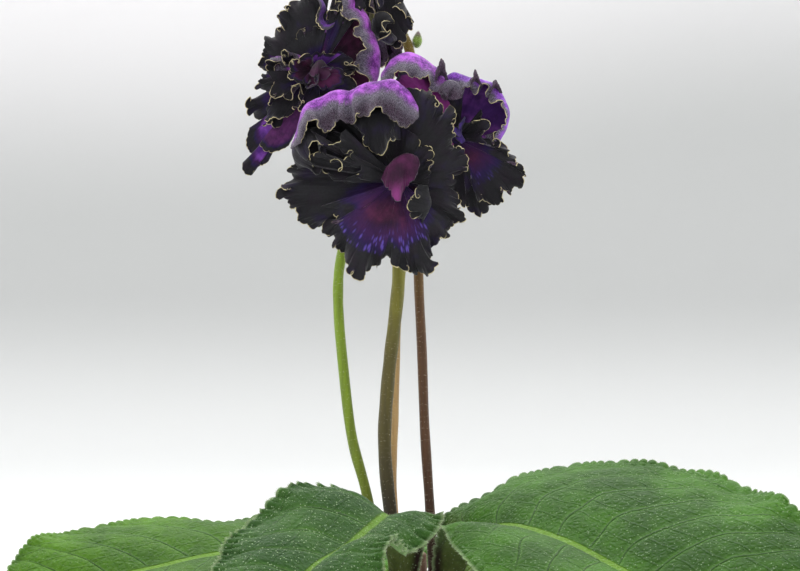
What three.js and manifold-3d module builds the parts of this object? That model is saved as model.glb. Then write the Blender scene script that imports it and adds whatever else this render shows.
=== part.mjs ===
// A cape primrose in its pot: crown, leaves, flower stalks and four double, ruffled flowers.
// Millimetres, +Z up. The origin is the centre of the pot's underside, and the plant's best side
// looks along -Y.

import * as THREE from 'three';
import { mergeVertices } from 'three/addons/utils/BufferGeometryUtils.js';
import Module from 'manifold-3d';

const wasm = await Module();
wasm.setup();

// Driving dimensions of the pot and of what it holds.
const POT_HEIGHT = 96;
const POT_TOP_RADIUS = 54;
const POT_FOOT_RADIUS = 42;
const POT_WALL = 1.4;
const POT_FLOOR = 1.8;
const RIM_HEIGHT = 10;
const RIM_PROUD = 2;
const DRAIN_HOLES = 6;
const DRAIN_RADIUS = 4;
const DRAIN_CIRCLE = 27;
const SOIL_LEVEL = 84;
const SOIL_MOUND = 3;
const CROWN_RADIUS = 12;
const CROWN_FOOT = 83;
const CROWN_TOP = 98;

// Touching pieces of the plant keep this much air between them.
const SEAT_GAP = 0.35;
const PETAL_GAP = 0.4;
const SHORTEST_EDGE = 0.02;
const MERGE_DISTANCE = 0.001;

// Leaves: their half thickness and the rib on their underside, which thins towards the tip. The
// lines of a leaf's grid lie closer together near the midrib.
const LEAF_SKIN = 0.6;
const MIDRIB_WIDTH = 2.6;
const MIDRIB_DEPTH = 3.2;
const MIDRIB_TAPER = 0.8;
const MIDRIB_CROWDING = 1.6;
const LEAF_ROWS = 12;
const LEAF_COLUMNS = 8;

// Petals: half thickness, width of the foot against the whole, rounding of the corners, waves
// and their height as a share of the petal's length, and how gradually a fold turns.
const PETAL_SKIN = 0.3;
const PETAL_FOOT = 0.75;
const CORNER_ROUNDING = 0.14;
const CORNER_POWER = 2.5;
const WAVES = 7;
const WAVE_HEIGHT = 0.045;
const FOLD_REACH = 0.2;
const PETAL_ROWS = 6;
const PETAL_COLUMNS = 6;

// Corolla tube, calyx, pedicel and bud.
const TUBE_MOUTH_RADIUS = 5.2;
const TUBE_NECK_RADIUS = 2.4;
const TUBE_WALL = 1;
const THROAT_DEPTH = 7;
const PETAL_START = TUBE_MOUTH_RADIUS - 0.6;
const CALYX_RADIUS = 3.7;
const CALYX_LENGTH = 8;
const CALYX_BEHIND = 3;
const SEPALS = 5;
const SEPAL_NOTCH = 2.2;
const SEPAL_ROOT = 0.45;
const PEDICEL_RADIUS = 1.1;
const BUD_RADIUS = 1.5;
const BUD_LENGTH = 5.4;

// Outlines of turned pieces, in shares of their radius and length.
const CROWN_OUTLINE = [[0, 0], [0.7, 0], [1, 0.27], [0.9, 0.73], [0.55, 0.95], [0, 1]];
const CALYX_OUTLINE = [[0, 0], [0.5, 0], [0.85, 0.3], [1, 1], [0, 1]];
const BUD_OUTLINE = [[0, 0], [0.7, 0.1], [1, 0.4], [0.7, 0.75], [0, 1]];

const AROUND_POT = 40;
const AROUND_STEM = 8;
const AROUND_TUBE = 10;
const STEPS_PER_POINT = 2.5;

// Pieces that are already in place, with the room that each keeps free around itself.
const placed = [];
const plant = new THREE.Group();

const radians = THREE.MathUtils.degToRad;
const clampShare = (u) => THREE.MathUtils.clamp(u, 0, 1);
const clampSide = (side) => THREE.MathUtils.clamp(side, -1, 1);
const at = (x, y, z) => new THREE.Vector3(x, y, z);

// The body enclosed by a geometry, with its faces turned outwards.
function solidFrom(geometry) {
  const bare = geometry.clone();
  bare.deleteAttribute('normal');
  bare.deleteAttribute('uv');
  const merged = mergeVertices(bare, MERGE_DISTANCE);
  const vertProperties = merged.attributes.position.array;
  const triVerts = Uint32Array.from(merged.index.array);
  const body = new wasm.Manifold(new wasm.Mesh({ numProp: 3, vertProperties, triVerts }));
  if (body.volume() >= 0) {
    return body;
  }
  const turned = triVerts.map((_, i) => triVerts[i - (i % 3) + (2 - (i % 3))]);
  return new wasm.Manifold(new wasm.Mesh({ numProp: 3, vertProperties, triVerts: turned }));
}

function geometryFrom(solid) {
  const mesh = solid.getMesh();
  const geometry = new THREE.BufferGeometry();
  geometry.setAttribute('position', new THREE.BufferAttribute(mesh.vertProperties, 3));
  geometry.setIndex(new THREE.BufferAttribute(mesh.triVerts, 1));
  geometry.computeVertexNormals();
  return geometry;
}

function largestBody(solid) {
  return solid.decompose().reduce((a, b) => (b.volume() > a.volume() ? b : a));
}

function boxesMeet(a, b) {
  return [0, 1, 2].every((k) => a.min[k] <= b.max[k] && b.min[k] <= a.max[k]);
}

// Adds a piece to the plant. build(grow) makes its solid, swollen by grow on every side. The
// piece gives way to those placed before it, and those placed after it give way to it.
function add(name, material, build, gap = SEAT_GAP) {
  let solid = build(0);
  for (const other of placed) {
    if (boxesMeet(solid.boundingBox(), other.room.boundingBox())) {
      solid = solid.subtract(other.room);
    }
  }
  const trimmed = largestBody(solid.simplify(SHORTEST_EDGE));
  const clean = largestBody(solidFrom(geometryFrom(trimmed)));
  const mesh = new THREE.Mesh(geometryFrom(clean), material);
  mesh.name = name;
  plant.add(mesh);
  placed.push({ room: build(gap).add(clean) });
}

function paint(color, roughness) {
  return new THREE.MeshStandardMaterial({ color, roughness, metalness: 0 });
}

// A thin closed body around surface(u, side), with u from 0 to 1 and side from -1 to 1. Past
// those ends u and side count millimetres beyond the edge, by which grow widens the sheet.
// skin(u, side) gives its thickness above and below the surface.
function sheet(surface, skin, rows, columns, grow) {
  const reach = 1e-3;
  const beyond = (k, last) => (k === last ? grow : 0) - (k === 0 ? grow : 0);
  const positions = [];
  const triangles = [];
  const width = columns + 1;
  const count = (rows + 1) * width;
  for (const face of [0, 1]) {
    for (let i = 0; i <= rows; i += 1) {
      for (let j = 0; j <= columns; j += 1) {
        const u = i / rows + beyond(i, rows);
        const v = (2 * j) / columns - 1 + beyond(j, columns);
        const along = surface(u + reach, v).sub(surface(u - reach, v));
        const across = surface(u, v + reach).sub(surface(u, v - reach));
        const normal = along.cross(across).normalize();
        const thickness = skin(u, v)[face] + grow;
        const point = surface(u, v).addScaledVector(normal, face === 0 ? thickness : -thickness);
        positions.push(point.x, point.y, point.z);
      }
    }
  }
  for (let i = 0; i < rows; i += 1) {
    for (let j = 0; j < columns; j += 1) {
      const a = i * width + j;
      const b = a + 1;
      const c = a + width;
      const d = c + 1;
      triangles.push(a, c, b, b, c, d);
      triangles.push(count + a, count + b, count + c, count + b, count + d, count + c);
    }
  }
  for (const [a, b] of rimEdges(rows, columns)) {
    triangles.push(a, b, count + b, a, count + b, count + a);
  }
  const geometry = new THREE.BufferGeometry();
  geometry.setAttribute('position', new THREE.Float32BufferAttribute(positions, 3));
  geometry.setIndex(triangles);
  return solidFrom(geometry);
}

// The edges around a grid of points, in one sense of turning.
function rimEdges(rows, columns) {
  const width = columns + 1;
  const corner = rows * width;
  const edges = [];
  for (let j = 0; j < columns; j += 1) {
    edges.push([j, j + 1]);
    edges.push([corner + j + 1, corner + j]);
  }
  for (let i = 0; i < rows; i += 1) {
    edges.push([(i + 1) * width, i * width]);
    edges.push([i * width + columns, (i + 1) * width + columns]);
  }
  return edges;
}

// A round stem through the given points.
function stem(points, radius, grow) {
  const steps = Math.round(points.length * STEPS_PER_POINT);
  const corners = Array.from({ length: AROUND_STEM }, (_, k) => {
    const angle = (k / AROUND_STEM) * Math.PI * 2;
    return new THREE.Vector2(Math.cos(angle), Math.sin(angle)).multiplyScalar(radius + grow);
  });
  const longer = (end, next) => end.clone().add(end.clone().sub(next).setLength(grow));
  const path = new THREE.CatmullRomCurve3([
    longer(points[0], points[1]),
    ...points.slice(1, -1),
    longer(points.at(-1), points.at(-2)),
  ]);
  return solidFrom(new THREE.ExtrudeGeometry(new THREE.Shape(corners), { steps, extrudePath: path }));
}

// A profile made from an outline in shares of a radius and a length, swollen by grow.
function swollen(outline, radius, length, grow) {
  const beyond = (share) => (share === 1 ? grow : 0) - (share === 0 ? grow : 0);
  return outline.map(([r, z]) => [r === 0 ? 0 : r * radius + grow, z * length + beyond(z)]);
}

// A turned body whose profile runs along an axis that starts at a place.
function turned(profile, sides, start, direction) {
  const geometry = new THREE.LatheGeometry(profile.map(([r, z]) => new THREE.Vector2(r, z)), sides);
  const turn = new THREE.Quaternion().setFromUnitVectors(at(0, 1, 0), direction.clone().normalize());
  geometry.applyQuaternion(turn);
  geometry.translate(start.x, start.y, start.z);
  return solidFrom(geometry);
}

// The pot is a plain tapered cup with a proud rim band and drain holes in its floor.
function pot() {
  const slope = (POT_TOP_RADIUS - POT_FOOT_RADIUS) / POT_HEIGHT;
  const outer = (z) => POT_FOOT_RADIUS + slope * z;
  const band = POT_HEIGHT - RIM_HEIGHT;
  const profile = [
    [0, 0],
    [outer(0), 0],
    [outer(band), band],
    [outer(band) + RIM_PROUD, band],
    [outer(POT_HEIGHT) + RIM_PROUD, POT_HEIGHT],
    [outer(POT_HEIGHT) - POT_WALL, POT_HEIGHT],
    [outer(POT_FLOOR) - POT_WALL, POT_FLOOR],
    [0, POT_FLOOR],
  ];
  let solid = turned(profile, AROUND_POT, at(0, 0, 0), at(0, 0, 1));
  for (let k = 0; k < DRAIN_HOLES; k += 1) {
    const angle = ((k + 0.5) / DRAIN_HOLES) * Math.PI * 2;
    const hole = new THREE.CylinderGeometry(DRAIN_RADIUS, DRAIN_RADIUS, POT_FLOOR * 3, AROUND_TUBE);
    hole.rotateX(Math.PI / 2);
    hole.translate(DRAIN_CIRCLE * Math.cos(angle), DRAIN_CIRCLE * Math.sin(angle), POT_FLOOR / 2);
    solid = solid.subtract(solidFrom(hole));
  }
  return solid;
}

// The potting mix fills the pot to its level and rises a little towards the crown.
function pottingMix(grow) {
  const slope = (POT_TOP_RADIUS - POT_FOOT_RADIUS) / POT_HEIGHT;
  const inner = (z) => POT_FOOT_RADIUS - POT_WALL - SEAT_GAP + slope * z + grow;
  const bottom = POT_FLOOR + SEAT_GAP - grow;
  const profile = [
    [0, bottom],
    [inner(bottom), bottom],
    [inner(SOIL_LEVEL), SOIL_LEVEL + grow],
    [CROWN_RADIUS * 2, SOIL_LEVEL + SOIL_MOUND * 0.6 + grow],
    [CROWN_RADIUS, SOIL_LEVEL + SOIL_MOUND + grow],
    [0, SOIL_LEVEL + SOIL_MOUND + grow],
  ];
  return turned(profile, AROUND_POT, at(0, 0, 0), at(0, 0, 1));
}

// The crown is a short thick stem, rounded at its top and narrower in the mix.
function crown(grow) {
  const profile = swollen(CROWN_OUTLINE, CROWN_RADIUS, CROWN_TOP - CROWN_FOOT, grow);
  return turned(profile, AROUND_TUBE, at(0, 0, CROWN_FOOT), at(0, 0, 1));
}

// A leaf is stretched over three lines: its midrib and its right and left edges, seen from the
// crown, each through points that stand opposite each other. puff lifts the blade between them.
function leaf(shape, grow) {
  const midrib = new THREE.CatmullRomCurve3(shape.midrib);
  const edges = [new THREE.CatmullRomCurve3(shape.right), new THREE.CatmullRomCurve3(shape.left)];
  const halfWidth = (u, side) => midrib.getPoint(u).distanceTo(edges[side].getPoint(u));
  const spaced = (side) => Math.abs(clampSide(side)) ** MIDRIB_CROWDING;
  const surface = (u, side) => {
    const middle = midrib.getPoint(clampShare(u));
    const edge = edges[side < 0 ? 0 : 1].getPoint(clampShare(u));
    const past = Math.abs(side - clampSide(side)) / middle.distanceTo(edge);
    const reached = spaced(side) + past;
    const lift = shape.puff * Math.sin(Math.PI * reached) * Math.sin(Math.PI * clampShare(u));
    return middle.lerp(edge, reached).add(at(0, 0, lift));
  };
  const skin = (u, side) => {
    const away = spaced(side) * halfWidth(clampShare(u), side < 0 ? 0 : 1);
    const rib = MIDRIB_DEPTH * (1 - MIDRIB_TAPER * u) * Math.exp(-((away / MIDRIB_WIDTH) ** 2));
    return [LEAF_SKIN, LEAF_SKIN + rib];
  };
  return sheet(surface, skin, LEAF_ROWS, LEAF_COLUMNS, grow);
}

const LEAVES = {
  leaf_front_left: {
    puff: 3,
    midrib: [
      at(-4, -9, 94), at(-6, -20, 116), at(-8, -35, 129.5), at(-14, -49, 127),
      at(-20, -60, 123), at(-30, -75, 118), at(-42, -98, 103), at(-52, -119, 87), at(-58, -135, 72),
    ],
    right: [
      at(-6.5, -8, 94), at(-9, -19, 117), at(-34.6, -38, 138), at(-45, -50, 132),
      at(-54, -65, 125), at(-57, -78, 118.7), at(-66, -103, 101), at(-67, -122, 84), at(-60, -136, 71),
    ],
    left: [
      at(-1.5, -10, 94), at(-2.5, -20, 116), at(6, -33, 129), at(6, -42, 127),
      at(0, -52, 121.5), at(-9, -66, 118), at(-18, -95, 99), at(-36, -122, 81), at(-56, -136, 71),
    ],
  },
  leaf_right: {
    puff: 4,
    midrib: [
      at(7, -6, 94), at(12, -11, 111), at(18, -16.5, 121), at(26.5, -24.5, 125.7),
      at(42.8, -40.8, 123.4), at(59, -57, 116.3), at(80, -78, 106), at(100, -98, 94),
      at(118, -116, 81), at(130, -128, 70),
    ],
    right: [
      at(5.2, -7.8, 94), at(9, -14, 112), at(8, -22, 125), at(11.5, -35, 121),
      at(22, -62, 112), at(38, -85, 103), at(60, -106, 92), at(84, -121, 80),
      at(108, -128, 71), at(129, -130, 69),
    ],
    left: [
      at(8.8, -4.2, 94), at(15, -8, 112), at(11, 3, 126), at(27, 5, 136),
      at(57, -1, 143.5), at(85, -15, 142), at(112, -46, 133), at(128, -72, 117),
      at(135, -101, 96), at(132, -127, 69),
    ],
  },
  leaf_back_left: {
    puff: 3,
    midrib: [
      at(-8, 2, 93), at(-18, -1, 107), at(-35, -6, 114), at(-58, -12, 116.2),
      at(-81, -16, 112), at(-104, -18, 107), at(-126, -19, 101),
    ],
    left: [
      at(-8, -0.5, 93), at(-20, -7, 108), at(-38, -28, 106), at(-60, -42, 103),
      at(-84, -44, 99), at(-108, -37, 97), at(-126, -21, 99),
    ],
    right: [
      at(-8, 4.5, 93), at(-17, 6, 109), at(-36, 12, 122), at(-58, 14, 124.4),
      at(-88, 15, 122.6), at(-112, 7, 117.5), at(-126.5, -16, 102),
    ],
  },
  leaf_back_right: {
    puff: 3,
    midrib: [
      at(7, 5, 93), at(18, 17, 108), at(35, 36, 117), at(52, 58, 118),
      at(67, 82, 111), at(80, 104, 99),
    ],
    right: [
      at(8.6, 3.5, 93), at(22, 12, 108), at(50, 20, 115), at(76, 40, 114),
      at(89, 70, 106), at(82, 104, 98),
    ],
    left: [
      at(5.4, 6.6, 93), at(13, 21, 108), at(18, 46, 115), at(28, 72, 114),
      at(46, 94, 106), at(78, 105, 98),
    ],
  },
  leaf_back_small: {
    puff: 2,
    midrib: [
      at(-3, 8, 94), at(-9, 18, 106), at(-18, 34, 115), at(-27, 52, 113), at(-34, 68, 104),
    ],
    left: [
      at(-5, 7.4, 94), at(-14, 16, 107), at(-34, 26, 113), at(-44, 46, 110), at(-36, 67, 103.5),
    ],
    right: [
      at(-1, 8.6, 94), at(-4, 20, 107), at(-2, 40, 113), at(-10, 60, 110), at(-32, 69, 103.5),
    ],
  },
};

// The flower stalks, each from the crown to where its flower's pedicel begins, and the stub that
// a cut one has left.
const STALKS = {
  stalk_left: {
    radius: 1.7,
    color: 0x7d9b2d,
    points: [
      at(-8, 3, 92), at(-15, 3, 133), at(-19.7, 4, 151), at(-22.5, 5, 173), at(-24.1, 6, 192),
      at(-24, 7, 203), at(-22, 8, 216), at(-22.5, 11, 246),
    ],
  },
  stalk_middle: {
    radius: 2.15,
    color: 0x5d4a33,
    points: [
      at(-2.5, -4, 93), at(-7.5, -4, 127), at(-9.5, -3, 150), at(-8.4, -2, 170),
      at(-6.6, -1, 186), at(-5.2, 0, 200), at(-4.8, 1, 212),
    ],
  },
  stalk_right: {
    radius: 1.6,
    color: 0x4f3a32,
    points: [
      at(6, 4, 93), at(4.8, 5, 127), at(3.1, 7, 154), at(2.2, 8, 179), at(1.2, 9, 201),
      at(0.8, 11, 240), at(-0.6, 12, 268), at(-2.9, 12, 278.5),
    ],
  },
  stalk_back: {
    radius: 1.4,
    color: 0xbfa57d,
    points: [
      at(-1, 8, 92), at(-6.8, 11, 130), at(-6.4, 12, 160), at(-5.6, 13, 190), at(-4.6, 14, 222),
    ],
  },
  cut_stalk_stub: {
    radius: 2.4,
    color: 0xa08070,
    points: [at(2.4, -2, 95), at(2.5, -4, 106), at(2.4, -5, 116.5)],
  },
};

// The flowers. The corolla tube runs from back, in the calyx, to throat, where the petals spread.
// A petal leaves the tube in the direction turn, seen from the front, 0 to the right and 90 up.
// It is length long and spread wide to either side. It starts at the slope lift towards the
// front, and turns to the slope fold at foldAt of its length.
const FLOWERS = {
  a: {
    throat: at(-5, -26, 231),
    back: at(-3.5, -1, 233.2),
    pedicel: [at(-4.8, 1.2, 208), at(-4.6, 6, 219), at(-3.8, 7.5, 230), at(-3.3, 3.5, 233.6)],
    petals: [
      { name: 'hood', turn: 100, length: 46, spread: 26, lift: 12, fold: 160, foldAt: 0.72 },
      { name: 'hood_left', turn: 138, length: 46, spread: 20, lift: 8, fold: 140, foldAt: 0.8 },
      { name: 'lip', turn: 259, length: 30.8, spread: 42, lift: 8, fold: -20, foldAt: 0.6 },
      {
        name: 'centre', turn: 82, length: 28, spread: 20, start: 3, lift: 60, fold: 205,
        foldAt: 0.38, keepsWidth: true,
      },
      { name: 'under_hood', turn: 114, length: 27, spread: 27, lift: 40, fold: 150, foldAt: 0.6 },
      { name: 'lower_left', turn: 195, length: 36, spread: 25, lift: -2, fold: -20, foldAt: 0.7 },
      { name: 'left_fold', turn: 166, length: 36, spread: 15, lift: 12, fold: 110, foldAt: 0.85 },
      { name: 'left_inner', turn: 170, length: 24, spread: 26, lift: 32, fold: 110, foldAt: 0.75 },
      {
        name: 'curl', turn: 300, length: 14, spread: 24, start: 3, lift: 45, fold: 0, foldAt: 0.5,
        keepsWidth: true,
      },
      { name: 'upper_right', turn: 40, length: 23, spread: 40, lift: 15, fold: 50, foldAt: 0.7 },
      { name: 'lower_right', turn: 324, length: 24, spread: 33, lift: -4, fold: -20, foldAt: 0.6 },
    ],
  },
  b: {
    throat: at(12.5, -5, 244.7),
    back: at(9, 19, 247),
    pedicel: [at(-4.6, 14.2, 219), at(-1, 19, 234), at(5, 25, 245), at(8.4, 23.4, 247.4)],
    petals: [
      {
        name: 'hood', turn: 112, length: 35, spread: 31, lift: 10, fold: 130, foldAt: 0.78,
        skew: 0.16,
      },
      { name: 'upper_right', turn: 62, length: 26, spread: 24, lift: 5, fold: 125, foldAt: 0.8 },
      { name: 'lower_right', turn: 326, length: 25.5, spread: 33, lift: 8, fold: -12, foldAt: 0.6 },
      { name: 'right', turn: 25, length: 19, spread: 29, lift: 14, fold: 50, foldAt: 0.8 },
      {
        name: 'upper_curl', turn: 98, length: 17, spread: 28, start: 4, lift: 42, fold: 110,
        foldAt: 0.6,
      },
      {
        name: 'right_curl', turn: 8, length: 17, spread: 28, start: 4, lift: 38, fold: 80,
        foldAt: 0.6,
      },
      { name: 'left', turn: 215, length: 19, spread: 48, lift: 22, fold: -5, foldAt: 0.5 },
      { name: 'underside', turn: 290, length: 25, spread: 20, lift: -12, fold: -5, foldAt: 0.5 },
    ],
  },
  c: {
    throat: at(-29.7, -2, 266.5),
    back: at(-26, 22, 270),
    pedicel: [at(-22.5, 11, 243), at(-23, 19, 257), at(-24.6, 27.5, 267.5), at(-25.4, 26.4, 270.6)],
    petals: [
      { name: 'right', turn: 20, length: 29, spread: 38, lift: 5, fold: 140, foldAt: 0.64 },
      { name: 'upper_left', turn: 129, length: 23.5, spread: 25, lift: 0, fold: 30, foldAt: 0.6 },
      { name: 'upper_right', turn: 65, length: 23, spread: 19, lift: 10, fold: 50, foldAt: 0.7 },
      { name: 'ribbon', turn: 88, length: 27, spread: 12, lift: 20, fold: 80, foldAt: 0.7 },
      { name: 'left', turn: 178, length: 23, spread: 29, lift: 20, fold: 120, foldAt: 0.72 },
      { name: 'lower_left', turn: 212, length: 27, spread: 25, lift: 12, fold: 45, foldAt: 0.7 },
      { name: 'tail', turn: 232, length: 41, spread: 12, lift: -6, fold: -25, foldAt: 0.6 },
      { name: 'comb', turn: 45, length: 12, spread: 35, start: 3, lift: 50, fold: 90, foldAt: 0.6 },
      { name: 'lower', turn: 285, length: 19, spread: 45, lift: 20, fold: 80, foldAt: 0.7 },
    ],
  },
  d: {
    throat: at(-14.5, 9, 300),
    back: at(-12, 14, 285),
    pedicel: [at(-2.7, 12, 278), at(-6, 14, 281.8), at(-9.6, 15.5, 281.4), at(-11.6, 15, 282.4)],
    petals: [
      { name: 'front_right', turn: 307, length: 38, spread: 29, lift: -20, fold: -90, foldAt: 0.24 },
      { name: 'front_left', turn: 246, length: 31, spread: 26, lift: -20, fold: -88, foldAt: 0.24 },
      { name: 'right', turn: 0, length: 26, spread: 30, lift: -20, fold: -84, foldAt: 0.3 },
      { name: 'left', turn: 188, length: 26, spread: 30, lift: -20, fold: -84, foldAt: 0.3 },
      { name: 'back_right', turn: 60, length: 28, spread: 29, lift: 0, fold: -70, foldAt: 0.45 },
      { name: 'back_left', turn: 124, length: 28, spread: 29, lift: 0, fold: -70, foldAt: 0.45 },
    ],
  },
};

// The directions of a flower: where it faces, its up and its right.
function flowerFrame(flower) {
  const face = flower.throat.clone().sub(flower.back).normalize();
  const up = at(0, 0, 1).addScaledVector(face, -face.z).normalize();
  const right = at(1, 0, 0).addScaledVector(face, -face.x);
  right.addScaledVector(up, -right.dot(up)).normalize();
  return { face, up, right };
}

// The middle line of a petal: how far out and how far forward it has come at a share of its
// length, and its slope there.
function petalLine(petal) {
  const steps = 120;
  const overrun = 1.1;
  const start = petal.start ?? PETAL_START;
  const stride = ((petal.length - start) * overrun) / steps;
  const slopeAt = (share) => {
    const [before, after] = [petal.foldAt - FOLD_REACH, petal.foldAt + FOLD_REACH];
    const bent = THREE.MathUtils.smoothstep(share, before, after);
    return radians(petal.lift + (petal.fold - petal.lift) * bent);
  };
  const line = [[start, 0]];
  for (let k = 0; k < steps; k += 1) {
    const slope = slopeAt((k / steps) * overrun);
    const [out, forward] = line[k];
    line.push([out + stride * Math.cos(slope), forward + stride * Math.sin(slope)]);
  }
  return (share) => {
    const place = (share / overrun) * steps;
    const k = THREE.MathUtils.clamp(Math.floor(place), 0, steps - 1);
    const between = (axis) => line[k][axis] + (line[k + 1][axis] - line[k][axis]) * (place - k);
    return { out: between(0), forward: between(1), slope: slopeAt(share) };
  };
}

// A petal is a fan that folds around its flower's throat, waved towards its margin. One that
// keeps its width folds straight over instead.
function petalSolid(flower, petal, grow) {
  const { face, up, right } = flowerFrame(flower);
  const turn = radians(petal.turn);
  const outwards = right.clone().multiplyScalar(Math.cos(turn)).addScaledVector(up, Math.sin(turn));
  const sideways = up.clone().multiplyScalar(Math.cos(turn)).addScaledVector(right, -Math.sin(turn));
  const start = petal.start ?? PETAL_START;
  const keep = petal.keepsWidth ? 1 : 0;
  const skew = petal.skew ?? 0;
  const line = petalLine(petal);
  const reach = petal.length - start;
  const surface = (u, side) => {
    const widening = PETAL_FOOT + (1 - PETAL_FOOT) * THREE.MathUtils.smoothstep(u, 0, 0.5);
    const rounded = 1 - CORNER_ROUNDING * Math.abs(clampSide(side)) ** CORNER_POWER;
    const stretch = (petal.length * rounded * (1 + skew * clampSide(side)) - start) / reach;
    const share = clampShare(u) + (u - clampShare(u)) / reach;
    const { out, forward, slope } = line(share);
    const distance = start + (out - start) * stretch;
    const radius = distance + keep * (start + reach * share - distance);
    const halfAngle = radians(petal.spread) * widening;
    const angle = clampSide(side) * halfAngle + (side - clampSide(side)) / radius;
    const wave = Math.sin((angle / halfAngle) * WAVES + petal.turn);
    const ruffle = petal.length * WAVE_HEIGHT * clampShare(u) ** 2 * wave;
    return flower.throat.clone()
      .addScaledVector(outwards, distance - (1 - keep) * distance * (1 - Math.cos(angle)))
      .addScaledVector(outwards, -ruffle * Math.sin(slope))
      .addScaledVector(sideways, radius * Math.sin(angle))
      .addScaledVector(face, forward * stretch + ruffle * Math.cos(slope));
  };
  return sheet(surface, () => [PETAL_SKIN, PETAL_SKIN], PETAL_ROWS, PETAL_COLUMNS, grow);
}

// The corolla tube: a narrow trumpet with a hollow throat.
function corollaTube(flower, grow) {
  const { face } = flowerFrame(flower);
  const length = flower.throat.distanceTo(flower.back);
  const profile = [
    [0, -grow],
    [TUBE_NECK_RADIUS + grow, -grow],
    [TUBE_NECK_RADIUS * 1.35 + grow, length * 0.45],
    [TUBE_MOUTH_RADIUS + grow, length],
    [TUBE_MOUTH_RADIUS - TUBE_WALL - grow, length],
    [TUBE_NECK_RADIUS * 0.6, length - THROAT_DEPTH],
    [0, length - THROAT_DEPTH],
  ];
  return turned(profile, AROUND_TUBE, flower.back, face);
}

// The calyx holds the tube's neck in a cup that ends in pointed sepals.
function calyx(flower, grow) {
  const { face } = flowerFrame(flower);
  const foot = flower.back.clone().addScaledVector(face, -CALYX_BEHIND);
  const profile = swollen(CALYX_OUTLINE, CALYX_RADIUS, CALYX_LENGTH, grow);
  let solid = turned(profile, SEPALS * 3, foot, face);
  const toFace = new THREE.Quaternion().setFromUnitVectors(at(0, 0, 1), face);
  for (let k = 0; k < SEPALS && grow === 0; k += 1) {
    const notch = new THREE.Shape();
    notch.moveTo(-SEPAL_NOTCH, CALYX_LENGTH + 1);
    notch.lineTo(0, CALYX_LENGTH * SEPAL_ROOT);
    notch.lineTo(SEPAL_NOTCH, CALYX_LENGTH + 1);
    const wedge = new THREE.ExtrudeGeometry(notch, { depth: CALYX_RADIUS * 2, bevelEnabled: false });
    wedge.rotateX(Math.PI / 2);
    wedge.rotateZ((k / SEPALS) * Math.PI * 2);
    wedge.applyQuaternion(toFace);
    wedge.translate(foot.x, foot.y, foot.z);
    solid = solid.subtract(solidFrom(wedge));
  }
  return solid;
}

// A small unopened bud stands beside the top of the right stalk.
function bud(grow) {
  const profile = swollen(BUD_OUTLINE, BUD_RADIUS, BUD_LENGTH, grow);
  return turned(profile, AROUND_STEM, at(0.5, 12, 274.5), at(0.12, 0, 1));
}

const leafGreen = () => paint(0x507d4b, 0.8);
const petalBlack = () => paint(0x26262c, 0.75);

add('pot', paint(0x4a4d50, 0.6), pot);
add('crown', paint(0x6b5a3c, 0.9), crown);
add('potting_mix', paint(0x33271d, 1), pottingMix);
for (const [name, stalk] of Object.entries(STALKS)) {
  add(name, paint(stalk.color, 0.7), (grow) => stem(stalk.points, stalk.radius, grow));
}
add('bud', paint(0x6f9b35, 0.7), bud);
for (const [name, shape] of Object.entries(LEAVES)) {
  add(name, leafGreen(), (grow) => leaf(shape, grow));
}
for (const [letter, flower] of Object.entries(FLOWERS)) {
  add(`corolla_tube_${letter}`, paint(0x6a2a78, 0.7), (grow) => corollaTube(flower, grow));
  add(`calyx_${letter}`, paint(0x6f8a3a, 0.8), (grow) => calyx(flower, grow));
  add(`pedicel_${letter}`, paint(0x8a8a45, 0.8), (grow) =>
    stem(flower.pedicel, PEDICEL_RADIUS, grow));
}
for (const [letter, flower] of Object.entries(FLOWERS)) {
  for (const petal of flower.petals) {
    const name = `petal_${letter}_${petal.name}`;
    add(name, petalBlack(), (grow) => petalSolid(flower, petal, grow), PETAL_GAP);
  }
}

export default plant;
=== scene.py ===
"""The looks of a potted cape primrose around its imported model.

Sizes and places are in millimetres in the row frame, and become metres where a mesh is made.
"""

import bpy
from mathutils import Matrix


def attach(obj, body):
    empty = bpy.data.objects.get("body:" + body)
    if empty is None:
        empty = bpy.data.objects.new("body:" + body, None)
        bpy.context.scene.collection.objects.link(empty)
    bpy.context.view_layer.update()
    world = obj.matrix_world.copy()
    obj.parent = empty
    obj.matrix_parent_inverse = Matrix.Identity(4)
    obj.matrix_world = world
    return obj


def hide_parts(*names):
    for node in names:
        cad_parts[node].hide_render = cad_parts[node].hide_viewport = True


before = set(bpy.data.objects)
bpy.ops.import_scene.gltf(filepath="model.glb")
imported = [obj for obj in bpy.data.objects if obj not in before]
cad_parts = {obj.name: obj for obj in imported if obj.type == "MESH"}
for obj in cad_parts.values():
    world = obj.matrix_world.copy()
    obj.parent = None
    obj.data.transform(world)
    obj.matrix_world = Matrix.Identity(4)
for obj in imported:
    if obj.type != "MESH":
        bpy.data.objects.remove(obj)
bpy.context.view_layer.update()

import math

import bpy
import numpy as np
from mathutils import Vector

MM = 0.001

# The photograph: the distance it was taken from, its scale there and the middle of its frame.
CAMERA_PLACE = (-4.7, -800.0, 199.2)
IMAGE_WIDTH = 800
IMAGE_HEIGHT = 571
PIXELS_PER_MM = 3.2
SENSOR_WIDTH = 36.0

# The pot and what it holds.
POT_HEIGHT = 96
POT_TOP_RADIUS = 54
POT_FOOT_RADIUS = 42
POT_WALL = 1.4
POT_FLOOR = 1.8
POT_ROUNDING = 0.7
POT_SIDES = 160
RIM_HEIGHT = 10
RIM_PROUD = 2
DRAIN_HOLES = 6
DRAIN_RADIUS = 4
DRAIN_CIRCLE = 27
DRAIN_SIDES = 32
SOIL_LEVEL = 84
SOIL_SINK = 1.2
SOIL_MOUND = 3
MIX_SIDES = 200
MIX_RINGS = 64
CROWN_RADIUS = 12
CROWN_FOOT = 83
CROWN_TOP = 98
SEAT_GAP = 0.35

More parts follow.
